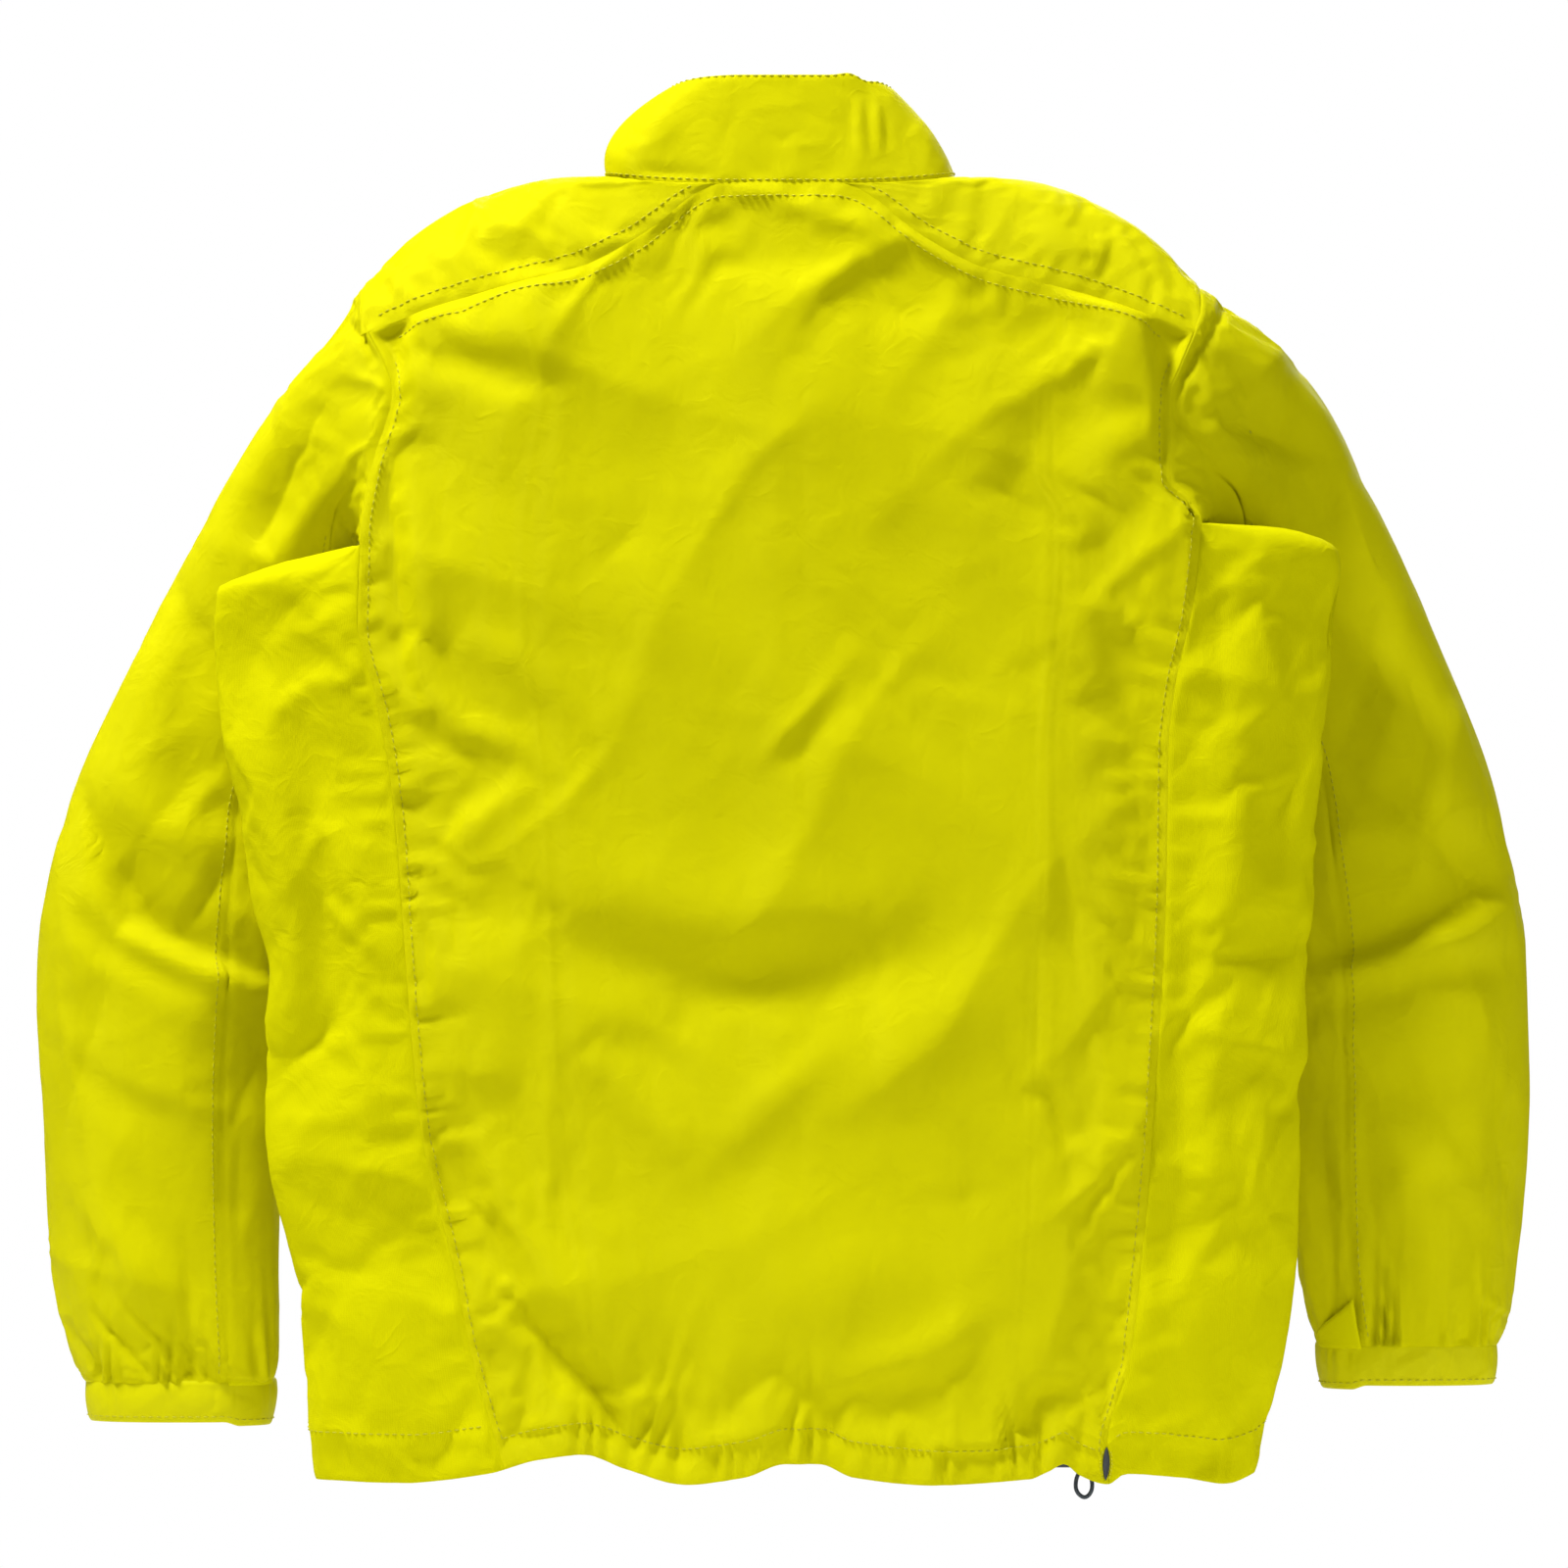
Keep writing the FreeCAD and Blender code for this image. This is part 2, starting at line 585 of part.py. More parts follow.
def hem_ring(z, t, depth):
    """Point inside the hem: t runs from the left zip edge (-1) by the back (0) to the right (1)."""
    side = -1 if t < 0 else 1
    half = smooth(HALF_WIDTH, z) - depth
    side_y = smooth(SIDE_Y, z)
    if abs(t) <= 0.5:
        power, edge = BACK_N, smooth(BACK_Y, z) + depth
        angle = abs(t) * math.pi
    else:
        power, edge = smooth(FRONT_N, z), smooth(FRONT_Y, z) - depth
        first = math.asin((14.0 / half) ** (power / 2))
        angle = first + (1 - abs(t)) * 2 * (math.pi / 2 - first)
    x = half * math.sin(angle) ** (2 / power)
    share = max(0.0, math.cos(angle)) ** (2 / power)
    return V(side * x, side_y + (edge - side_y) * share, z)


def hem_facing():
    """Inner wall of the drawcord tunnel, all round the hem, with the cord's way out."""
    grid = [[hem_ring(z, t, 8.2) for t in span(-1, 1, 81)] for z in span(HEM_Z + 2, HEM_Z + 24, 4)]
    slot = box(LOCK.x - 6.5, LOCK.x + 6.5, -12, 4, HEM_Z + 15.8, HEM_Z + 20.2)
    return cloth(grid, 0, 0.8, V(0, 31, HEM_Z + 13)).cut(slot)


def hem_drawcord():
    """Elastic cord that lies in the tunnel, in short runs round the sides and long ones between."""
    z = HEM_Z + 7.5
    fine = [hem_ring(z, t, 3.6) for t in span(-1, 0, 1601)]
    lengths = [0.0]
    for before, after in zip(fine, fine[1:]):
        lengths.append(lengths[-1] + (after - before).Length)
    steps = (46, 46, 42, 31, 22, 16, 13, 13, 13, 13, 13, 13, 16, 22, 31, 42, 46, 46)
    scale = (lengths[-1] - 23.0) / sum(steps)
    points = [fine[0]]
    reached = 0.0
    for step in steps:
        reached += step * scale
        points.append(next(p for p, length in zip(fine, lengths) if length >= reached - 1e-6))
    other = [V(-p.x, p.y, p.z) for p in reversed(points)]
    return tube(points + other, CORD_D / 2)


def cord_eyelet():
    """Oval eyelet where the cord leaves the tunnel."""
    face = max(hem_ring(HEM_Z + 18, t, 9.0).y for t in (0.2, 0.25, 0.3)) + 0.3
    outer = box(LOCK.x - 8.5, LOCK.x + 8.5, face, face + 1.0, HEM_Z + 13.6, HEM_Z + 22.4)
    outer = outer.makeFillet(4.2, [e for e in outer.Edges if abs(e.Length - 1.0) < 0.01])
    inner = box(LOCK.x - 6.4, LOCK.x + 6.4, face - 1, face + 2, HEM_Z + 15.9, HEM_Z + 20.1)
    inner = inner.makeFillet(2.0, [e for e in inner.Edges if abs(e.Length - 3.0) < 0.01])
    return outer.cut(inner)


def drawcord_loop():
    """Doubled end of the cord: out of the tunnel, through the lock and round below the hem."""
    start_z = HEM_Z + 18.0
    start_y = hem_ring(start_z, 0.25, 8.2).y - 1.2
    leg = [(1.7, start_y, start_z), (1.7, LOCK.y, start_z), (1.7, LOCK.y, LOCK.z),
           (1.9, LOCK.y, HEM_Z - 0.6), (6.6, LOCK.y - 0.6, HEM_Z - 5.2), (5.6, LOCK.y - 1.2, HEM_Z - 11.4)]
    right = [V(LOCK.x + x, y, z) for x, y, z in leg]
    middle = [V(LOCK.x, LOCK.y - 1.5, HEM_Z - 14.0)]
    left = [V(LOCK.x - x, y, z) for x, y, z in reversed(leg)]
    return tube(right + middle + left, CORD_D / 2)


def cord_lock():
    """Barrel, plunger and spring of the cord lock, lying along X inside the hem."""
    x, y, z = LOCK.x, LOCK.y, LOCK.z
    body = cylinder(LOCK_R, 26, V(x - 17, y, z), V(1, 0, 0))
    body = body.cut(cylinder(4.4, 24, V(x - 14.5, y, z), V(1, 0, 0)))
    body = body.cut(box(x - 3.2, x + 3.2, y - 1.6, y + 1.6, z - 8, z + 8))
    plunger = cylinder(4.0, 21.7, V(x - 7.7, y, z), V(1, 0, 0))
    plunger = plunger.cut(cylinder(3.3, 4.5, V(x - 7.7, y, z), V(1, 0, 0)))
    plunger = plunger.cut(box(x - 3.0, x + 7.0, y - 1.6, y + 1.6, z - 8, z + 8))
    helix = Part.makeHelix(1.3, 6.0, 2.5)
    ring = Part.Wire(Part.Circle(V(2.5, 0, 0), V(0, 1, 0), 0.3).toShape())
    spring = Part.Wire(helix).makePipeShell([ring], True, True)
    spring.rotate(V(0, 0, 0), V(0, 1, 0), 90)
    spring.translate(V(x - 14.0, y, z))
    return {"cord_lock_body": body, "cord_lock_plunger": plunger, "cord_lock_spring": spring}


# ---------------------------------------------------------------- pieces inside the neck and front
def hang_loop():
    """Tape loop inside the back neck seam; the middle of its underside is the origin."""
    thick, half, foot_z = 1.2, 27.0, -14.0
    outline = [V(-half, 0, foot_z), V(-half + 3, 0, -6), V(-half + 10, 0, -1.2), V(0, 0, 0),
               V(half - 10, 0, -1.2), V(half - 3, 0, -6), V(half, 0, foot_z)]
    lower = Part.BSplineCurve()
    lower.interpolate(outline)
    raised = [V(p.x * (half + thick) / half, 0, p.z + thick * (1 + p.z / 14.0)) for p in outline]
    upper = Part.BSplineCurve()
    upper.interpolate(raised)
    edges = [lower.toShape(), Part.makeLine(outline[-1], raised[-1]), upper.toShape(),
             Part.makeLine(raised[0], outline[0])]
    face = Part.Face(Part.Wire(Part.__sortEdges__(edges)))
    band = face.extrude(V(0, 5.2, 0))
    band.translate(V(0, -2.6, 0))
    feet = [box(-half - thick, -half + 5, -4.2, 2.6, foot_z - 5, foot_z + 1),
            box(half - 5, half + thick, -4.2, 2.6, foot_z - 5, foot_z + 1)]
    return band.multiFuse(feet)


def neck_patch():
    """Blank size tab inside the back neck."""
    grid = [[V(x, back_y(x, z), z) for x in span(-26, 26, 9)] for z in span(-64, -28, 7)]
    return cloth(grid, 6.1, 6.8, BODY_CORE)


def draft_flap():
    """Long flap behind the front zip."""
    flap = box(-26, 14, ZIP_Y - 10.5, ZIP_Y - 9.5, HEM_Z + 27, -70)
    return flap.makeFillet(6.0, [e for e in flap.Edges if abs(e.Length - 1.0) < 0.01])


def chin_guard():
    """Soft guard behind the top of the front zip."""
    guard = box(-13, 13, ZIP_Y - 9.4, ZIP_Y - 8.2, -44, 4.5)
    return guard.makeFillet(6.0, [e for e in guard.Edges if abs(e.Length - 1.2) < 0.01])


# ---------------------------------------------------------------- whole jacket
def body_parts():
    """Cloth, insulation and lining of the body."""
    low = HEM_Z + 27.0
    shell = cloth(front_grid(HEM_Z, SEAM_GAP), 0, SHELL_T, BODY_CORE)
    fill = cloth(front_grid(low, 9.0, 24.0, 20.0), FILL_D[0], FILL_D[1], BODY_CORE)
    lining = cloth(front_grid(low, 9.0, 22.0, 16.0), LINING_D[0], LINING_D[1], BODY_CORE)
    half = pocket_frame()[4]
    slot = pocket_place(box(-POCKET_SLOT, POCKET_SLOT, -4, 6, -half - 1, half + 1))
    window = pocket_place(box(-12, 12, -16, 6, -half - 10, half + 10))
    shell = shell.cut(slot)
    fill = fill.cut(window)
    lining = lining.cut(window)
    yoke = cloth(yoke_grid(SEAM_GAP), 0, SHELL_T, BODY_CORE)
    parts = {
        "back_panel": cloth(back_grid(HEM_Z, SEAM_GAP), 0, SHELL_T, BODY_CORE),
        "insulation_back": cloth(back_grid(low, 6.0, 5.0), FILL_D[0], FILL_D[1], BODY_CORE),
        "lining_back": cloth(back_grid(low, 6.0, 4.0), LINING_D[0], LINING_D[1], BODY_CORE),
        "front_panel_right": shell,
        "front_panel_left": mirrored(shell),
        "insulation_front_right": fill,
        "insulation_front_left": mirrored(fill),
        "lining_front_right": lining,
        "lining_front_left": mirrored(lining),
        "side_panel_left": cloth(side_grid(-1, HEM_Z, UNDERARM_Z - 1, SEAM_GAP), 0, SHELL_T, BODY_CORE),
        "side_panel_right": cloth(side_grid(1, HEM_Z, UNDERARM_Z - 1, SEAM_GAP), 0, SHELL_T, BODY_CORE),
        "shoulder_yoke_right": yoke,
        "shoulder_yoke_left": mirrored(yoke),
        "collar_outer": cloth(collar_grid(), 0, SHELL_T, COLLAR_CORE),
        "collar_lining": cloth(collar_grid(), 1.8, 2.6, COLLAR_CORE),
    }
    return parts


def main():
    """Build and write every sub-part."""
    parts = body_parts()
    parts.update(main_zip())
    for name, shape in pocket_zip().items():
        parts["pocket_right_" + name] = shape
        parts["pocket_left_" + name] = mirrored(shape)
    parts["pocket_right_bag"] = pocket_bag()
    parts["pocket_left_bag"] = mirrored(parts["pocket_right_bag"])
    parts["hem_facing"] = hem_facing()
    parts["hem_drawcord"] = hem_drawcord()
    parts["cord_eyelet"] = cord_eyelet()
    parts["drawcord_loop"] = drawcord_loop()
    parts.update(cord_lock())
    parts["hang_loop"] = hang_loop()
    parts["neck_patch"] = neck_patch()
    parts["draft_flap"] = draft_flap()
    parts["chin_guard"] = chin_guard()
    for side, word in ((-1, "left"), (1, "right")):
        for name, shape in sleeve_parts(side).items():
            parts["sleeve_" + word + "_" + name] = shape
    for name, shape in parts.items():
        save(name, shape)


main()
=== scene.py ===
"""Insulated mid-layer ski jacket: its padded cloth, seams, fastenings and cords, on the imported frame."""
import logging
import math
from dataclasses import dataclass
from enum import Enum
from typing import Callable

import bpy
import numpy as np
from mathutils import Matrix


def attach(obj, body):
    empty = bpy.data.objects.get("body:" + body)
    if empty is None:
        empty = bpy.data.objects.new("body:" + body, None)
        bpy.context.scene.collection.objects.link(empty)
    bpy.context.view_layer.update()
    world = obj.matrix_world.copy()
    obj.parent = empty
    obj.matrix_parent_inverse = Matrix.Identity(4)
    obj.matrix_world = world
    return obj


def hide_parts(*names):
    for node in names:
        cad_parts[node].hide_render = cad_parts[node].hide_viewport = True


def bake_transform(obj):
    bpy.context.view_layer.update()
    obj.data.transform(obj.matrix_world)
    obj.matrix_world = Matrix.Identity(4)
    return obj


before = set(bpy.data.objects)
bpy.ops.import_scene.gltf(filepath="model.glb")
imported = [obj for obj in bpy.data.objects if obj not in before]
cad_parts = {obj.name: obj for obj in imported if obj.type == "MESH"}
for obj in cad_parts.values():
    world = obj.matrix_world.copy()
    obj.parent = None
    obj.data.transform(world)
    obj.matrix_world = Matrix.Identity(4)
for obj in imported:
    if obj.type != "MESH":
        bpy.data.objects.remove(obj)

LOG = logging.getLogger("jacket")
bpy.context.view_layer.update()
Array = np.ndarray
Table = tuple[tuple[float, float], ...]
Line = tuple[tuple[float, float], ...]
SIDES: dict[int, str] = {-1: "left", 1: "right"}


# ------------------------------------------------------------------ number tables
def smooth_table(table: Table, at: Array) -> Array:
    """Monotone cubic through a table: slopes are the harmonic means of the neighbouring chords.

    Args:
        table: rows of (position, value), rising in position.
        at: positions to read.

    Returns:
        The value at each position, with no overshoot.
    """
    xs, ys = np.array(table, float).T
    at = np.clip(np.asarray(at, float), xs[0], xs[-1])
    chord = np.diff(ys) / np.diff(xs)
    left, right = chord[:-1], chord[1:]
    total = np.where(left + right == 0, 1.0, left + right)
    inner = np.where(left * right > 0, 2 * left * right / total, 0.0)
    slope = np.concatenate(([chord[0]], inner, [chord[-1]]))
    i = np.clip(np.searchsorted(xs, at, side="right") - 1, 0, len(xs) - 2)
    step = xs[i + 1] - xs[i]
    t = (at - xs[i]) / step
    return ((2 * t**3 - 3 * t**2 + 1) * ys[i] + (t**3 - 2 * t**2 + t) * step * slope[i]
            + (-2 * t**3 + 3 * t**2) * ys[i + 1] + (t**3 - t**2) * step * slope[i + 1])


def along_rows(rows: tuple[tuple[float, ...], ...], t: Array) -> Array:
    """Each column of rows, evenly spread over 0 to 1, read at t.

    Args:
        rows: coordinate rows.
        t: shares of the way along.

    Returns:
        An array of t's shape with one more axis for the columns.
    """
    spread = np.linspace(0, 1, len(rows))
    return np.stack([smooth_table(tuple(zip(spread, column)), t) for column in zip(*rows)], -1)


def ease(low: float, high: float, at: Array) -> Array:
    """Smooth step 3s^2 - 2s^3 of the share s of the way from low to high."""
    s = np.clip((np.asarray(at, float) - low) / (high - low), 0, 1)
    return s * s * (3 - 2 * s)


def crowded(count: int, ends: float, reach: float) -> Array:
    """Shares from 0 to 1 that crowd at both ends, so that a rounded edge has rows enough.

    Args:
        count: evenly spread shares between the ends.
        ends: share of the way that the crowded rows take at each end.
        reach: smallest share of that way.

    Returns:
        The shares, rising.
    """
    near = ends * np.array([0.0, reach, 0.12, 0.28, 0.5, 0.75])
    return np.concatenate([near, np.linspace(ends, 1 - ends, count), 1 - near[::-1]])


def beside(line: Line, x: Array, z: Array) -> tuple[Array, Array, float, Array]:
    """Distance of each point of the elevation from a bent line.

    Args:
        line: corners of the line, in millimetres.
        x: places across.
        z: heights.

    Returns:
        The distance, the way gone along the line, its whole length, and the signed distance.
    """
    best = np.full(np.shape(x), 1e9)
    gone = np.zeros(np.shape(x))
    signed = np.zeros(np.shape(x))
    run = 0.0
    for (x0, z0), (x1, z1) in zip(line, line[1:]):
        dx, dz = x1 - x0, z1 - z0
        length = math.hypot(dx, dz)
        t = np.clip(((x - x0) * dx + (z - z0) * dz) / length**2, 0, 1)
        away = np.hypot(x - x0 - t * dx, z - z0 - t * dz)
        side = ((x - x0) * dz - (z - z0) * dx) / length
        nearer = away < best
        best = np.where(nearer, away, best)
        gone = np.where(nearer, run + t * length, gone)
        signed = np.where(nearer, np.where(side < 0, -away, away), signed)
        run += length
    return best, gone, run, signed


# ------------------------------------------------------------------ folds, gathers and ripples
class FoldForm(Enum):
    """Section of a fold across its line."""

    SOFT = "soft"
    SHARP = "sharp"
    LAPPED = "lapped"


@dataclass(frozen=True)
class Fold:
    """One fold of the cloth along a line of the elevation, in millimetres."""

    line: Line
    rise: float
    width: float
    form: FoldForm = FoldForm.SOFT

    def lift(self, x: Array, z: Array) -> Array:
        """Height of the fold: rise times its section, faded towards both ends of the line.

        The section is exp(-(d/w)^2) when soft, exp(-|d|/w) when sharp, and the odd
        step tanh(2 d/w) exp(-(d/3w)^2) when one side laps over the other.

        Args:
            x: places across, in millimetres.
            z: heights, in millimetres.

        Returns:
            How far the cloth stands out, in millimetres.
        """
        away, gone, whole, signed = beside(self.line, x, z)
        fade = np.sin(math.pi * np.clip(gone / whole, 0.04, 0.96)) ** 0.6
        if self.form is FoldForm.SOFT:
            section = np.exp(-((away / self.width) ** 2))
        elif self.form is FoldForm.SHARP:
            section = np.exp(-np.sqrt(away**2 + 0.8) / self.width)
        else:
            section = np.tanh(2 * signed / self.width) * np.exp(-((away / (3 * self.width)) ** 2))
        return self.rise * section * fade


@dataclass(frozen=True)
class Gathers:
    """Row of short puckers that stand across a line, fading away from it."""

    line: Line
    pitch: float
    rise: float
    reach: float
    seed: int = 1

    def lift(self, x: Array, z: Array) -> Array:
        """Sine of the way along, its phase and height wandering by two slow sines, times exp(-d/reach).

        Args:
            x: places across, in millimetres.
            z: heights, in millimetres.

        Returns:
            How far the cloth stands out, in millimetres.
        """
        away, gone, whole, _ = beside(self.line, x, z)
        turn = 2 * math.pi * gone / self.pitch
        wander = 2.2 * np.sin(turn * 0.37 + self.seed) + 1.9 * np.sin(turn * 0.17 + 2.1 * self.seed)
        height = 0.5 + 0.5 * np.sin(turn * 0.23 + 1.7 * self.seed)
        fade = np.sin(math.pi * np.clip(gone / whole, 0.02, 0.98)) ** 0.4
        return self.rise * np.sin(turn + wander) * height * fade * np.exp(-away / self.reach)


@dataclass(frozen=True)
class Ripples:
    """Shallow unevenness of hanging cloth: a few slow waves with seeded directions."""

    rise: float
    span: float
    seed: int

    def lift(self, x: Array, z: Array) -> Array:
        """Sum of nine crests (1 - |sin|)^1.7 of (x, z), each bent, and kept to patches by a slower sine.

        Args:
            x: places across, in millimetres.
            z: heights, in millimetres.

        Returns:
            How far the cloth stands out, in millimetres.
        """
        pick = np.random.default_rng(self.seed)
        total = np.zeros(np.shape(x))
        for _ in range(9):
            lean = pick.uniform(-1.1, 1.1)
            pitch = self.span * pick.uniform(0.6, 1.6)
            phase, turn, bend = pick.uniform(0, 2 * math.pi, 3)
            ahead = x * math.cos(lean) + z * math.sin(lean)
            across = z * math.cos(lean) - x * math.sin(lean)
            wave = np.sin(math.pi * ahead / pitch + phase + 0.9 * np.sin(across / pitch * 1.7 + bend))
            patch = (0.5 + 0.5 * np.sin(2 * math.pi * across / (pitch * 2.6) + turn)) ** 2
            total = total + ((1 - np.abs(wave)) ** 1.7 - 0.27) * patch * pick.choice([-1.0, 1.0, 1.0])
        return self.rise * total


Lifts = tuple[Fold | Gathers | Ripples, ...]


FOLD_SCALE = 1.9


def lift_all(lifts: Lifts, x: Array, z: Array) -> Array:
    """FOLD_SCALE times the sum of every fold, row of gathers and ripple at points of the elevation.

    Args:
        lifts: the folds, gathers and ripples.
        x: places across, in millimetres.
        z: heights, in millimetres.

    Returns:
        How far the cloth stands out, in millimetres.
    """
    return FOLD_SCALE * sum((part.lift(x, z) for part in lifts), np.zeros(np.shape(x)))


# ------------------------------------------------------------------ meshes
def grid_normals(points: Array, core: Array) -> Array:
    """Unit normals of a grid by central differences, turned away from a core point.

    Args:
        points: grid of shape (rows, columns, 3).
        core: a point on the inner side.

    Returns:
        Normals of the same shape.
    """
    down = np.gradient(points, axis=0)
    across = np.gradient(points, axis=1)
    normal = np.cross(down, across)
    normal /= np.maximum(np.linalg.norm(normal, axis=-1, keepdims=True), 1e-9)
    facing = np.sum(normal * (points - core), axis=-1)
    return normal if np.median(facing) > 0 else -normal


def edge_way(points: Array, wrap: bool = False) -> tuple[Array, Array, Array, Array]:
    """Way along the cloth from each grid point to the four edges, as rows and columns add up.

    Args:
        points: grid of shape (rows, columns, 3).
        wrap: true where the columns close on themselves, which have no side edges.

    Returns:
        Ways to the low row, the high row, the first column and the last column.
    """
    rows = np.linalg.norm(np.diff(points, axis=0), axis=-1)
    cols = np.linalg.norm(np.diff(points, axis=1), axis=-1)
    low = np.concatenate([np.zeros((1, points.shape[1])), np.cumsum(rows, 0)], 0)
    first = np.concatenate([np.zeros((points.shape[0], 1)), np.cumsum(cols, 1)], 1)
    high = low[-1:] - low
    last = first[:, -1:] - first
    if wrap:
        return low, high, np.full_like(first, 1e3), np.full_like(last, 1e3)
    return low, high, first, last


def put_mesh(name: str, points: Array, quads: Array, cloth_uv: Array | None = None,
             closed: bool = True) -> bpy.types.Object:
    """Put points (millimetres) and quads into a new smooth mesh object, faces outwards.

    Args:
        name: name of the piece.
        points: array (n, 3) in millimetres.
        quads: array (m, 4) of point numbers.
        cloth_uv: array (n, 2) of places on the cloth in metres.
        closed: false for an open face, which keeps the way round that it is given.

    Returns:
        The object, linked into the scene.
    """
    co = points.reshape(-1, 3) * 0.001
    a, b, c, d = (co[quads[:, k]] for k in range(4))
    volume = np.sum(np.cross(a, b) * c) + np.sum(np.cross(a, c) * d)
    if closed and volume < 0:
        quads = quads[:, ::-1]
    mesh = bpy.data.meshes.new(name)
    mesh.vertices.add(len(co))
    mesh.vertices.foreach_set("co", co.astype(np.float32).ravel())
    mesh.loops.add(quads.size)
    mesh.loops.foreach_set("vertex_index", quads.astype(np.int32).ravel())
    mesh.polygons.add(len(quads))
    mesh.polygons.foreach_set("loop_start", np.arange(0, quads.size, 4, dtype=np.int32))
    mesh.polygons.foreach_set("use_smooth", np.ones(len(quads), dtype=bool))
    if cloth_uv is not None:
        layer = mesh.uv_layers.new(name="cloth")
        layer.data.foreach_set("uv", cloth_uv.reshape(-1, 2)[quads.ravel()].astype(np.float32).ravel())
    mesh.update(calc_edges=True)
    mesh.validate()
    piece = bpy.data.objects.new(name, mesh)
    bpy.context.scene.collection.objects.link(piece)
    return piece


def grid_quads(rows: int, cols: int, start: int = 0, wrap: bool = False) -> Array:
    """Quads of a grid numbered row by row from a start number, closed across its columns if wrapped."""
    i = np.arange(rows - 1)[:, None]
    j = np.arange(cols if wrap else cols - 1)[None, :]
    k = (j + 1) % cols
    quads = np.stack([i * cols + j, i * cols + k, (i + 1) * cols + k, (i + 1) * cols + j], -1)
    return quads.reshape(-1, 4) + start


def shell(name: str, outer: Array, inner: Array, wrap: bool = False) -> bpy.types.Object:
    """Closed cloth shell of two matching grids and the rims between them.

    Args:
        name: name of the piece.
        outer: outer face, shape (rows, columns, 3), in millimetres.
        inner: inner face of the same shape.
        wrap: true where the columns close on themselves.

    Returns:
        The mesh object, with the way along its rows and columns as UV map, in metres.
    """
    rows, cols = outer.shape[:2]
    count = rows * cols
    number = np.arange(count).reshape(rows, cols)
    parts = [grid_quads(rows, cols, 0, wrap), grid_quads(rows, cols, count, wrap)[:, ::-1]]
    ends = [number[0], number[-1][::-1]]
    if not wrap:
        ends += [number[::-1, 0], number[:, -1]]
    for rim in ends:
        ring = np.append(rim, rim[0]) if wrap else rim
        a, b = ring[:-1], ring[1:]
        parts.append(np.stack([b, a, a + count, b + count], -1))
    low, _, first, _ = edge_way(outer)
    way = np.stack([first - first[:, cols // 2: cols // 2 + 1], low], -1) * 0.001
    points = np.concatenate([outer.reshape(-1, 3), inner.reshape(-1, 3)])
    return put_mesh(name, points, np.concatenate(parts), np.concatenate([way.reshape(-1, 2)] * 2))


def finer(rows: int, shares: Array) -> Array:
    """Weights that carry values at evenly spread rows to other shares, by Catmull-Rom cubics.

    Args:
        rows: number of evenly spread rows.
        shares: places to read, from 0 to 1.

    Returns:
        Matrix of shape (len(shares), rows).
    """
    place = np.clip(shares * (rows - 1), 0, rows - 1 - 1e-9)
    i = np.floor(place).astype(int)
    t = place - i
    weights = np.zeros((len(shares), rows))
    cubic = [(-t**3 + 2 * t**2 - t) / 2, (3 * t**3 - 5 * t**2 + 2) / 2,
             (-3 * t**3 + 4 * t**2 + t) / 2, (t**3 - t**2) / 2]
    for k, value in enumerate(cubic):
        np.add.at(weights, (np.arange(len(shares)), np.clip(i - 1 + k, 0, rows - 1)), value)
    return weights


@dataclass(frozen=True)
class Settling:
    """Cloth simulation that lets a padded panel swell and slacken between its pinned seams."""

    pressure: float = 0.9
    slack: float = 0.022
    frames: int = 14
    cap: float = 5.0

    def settle(self, points: Array, pinned: Array, core: Array, wrap: bool = False) -> Array:
        """Let a coarse grid of the panel settle, and say how far each point moves.

        Args:
            points: grid (rows, columns, 3) in millimetres.
            pinned: grid of weights, 1 at a seam and 0 where the cloth is free.
            core: a point on the inner side.
            wrap: true where the columns close on themselves.

        Returns:
            The moves in millimetres, softly held under the cap.
        """
        rows, cols = points.shape[:2]
        across, up = np.gradient(points, axis=1), np.gradient(points, axis=0)
        outward = np.median(np.sum(np.cross(across, up) * (points - core), axis=-1)) > 0
        quads = grid_quads(rows, cols, 0, wrap)
        piece = put_mesh("settling_cloth", points, quads if outward else quads[:, ::-1], closed=False)
        group = piece.vertex_groups.new(name="seams")
        held = pinned.ravel()
        for weight in np.unique(np.round(held, 1)):
            if weight > 0:
                group.add(np.flatnonzero(np.round(held, 1) == weight).tolist(), float(weight), "REPLACE")
        cloth = piece.modifiers.new("settle", "CLOTH")
        settings = cloth.settings
        settings.quality = 5
        settings.mass = 0.15
        settings.tension_stiffness = settings.compression_stiffness = 25
        settings.shear_stiffness = 12
        settings.bending_stiffness = 0.6
        settings.vertex_group_mass = "seams"
        settings.use_pressure = True
        settings.uniform_pressure_force = self.pressure
        settings.shrink_min = settings.shrink_max = -self.slack
        settings.effector_weights.gravity = 0
        cloth.collision_settings.use_collision = False
        cloth.collision_settings.use_self_collision = False
        cloth.point_cache.frame_start = 1
        cloth.point_cache.frame_end = self.frames
        scene = bpy.context.scene
        for number in range(1, self.frames + 1):
            scene.frame_set(number)
        shown = piece.evaluated_get(bpy.context.evaluated_depsgraph_get())
        flat = np.empty(rows * cols * 3, dtype=np.float32)
        shown.data.vertices.foreach_get("co", flat)
        moved = flat.reshape(rows, cols, 3) * 1000.0 - points
        mesh = piece.data
        bpy.data.objects.remove(piece)
        bpy.data.meshes.remove(mesh)
        scene.frame_set(1)
        far = np.linalg.norm(moved, axis=-1, keepdims=True)
        held_back = self.cap / np.sqrt(self.cap**2 + far**2)
        return np.where(np.isfinite(moved), moved * held_back, 0.0)


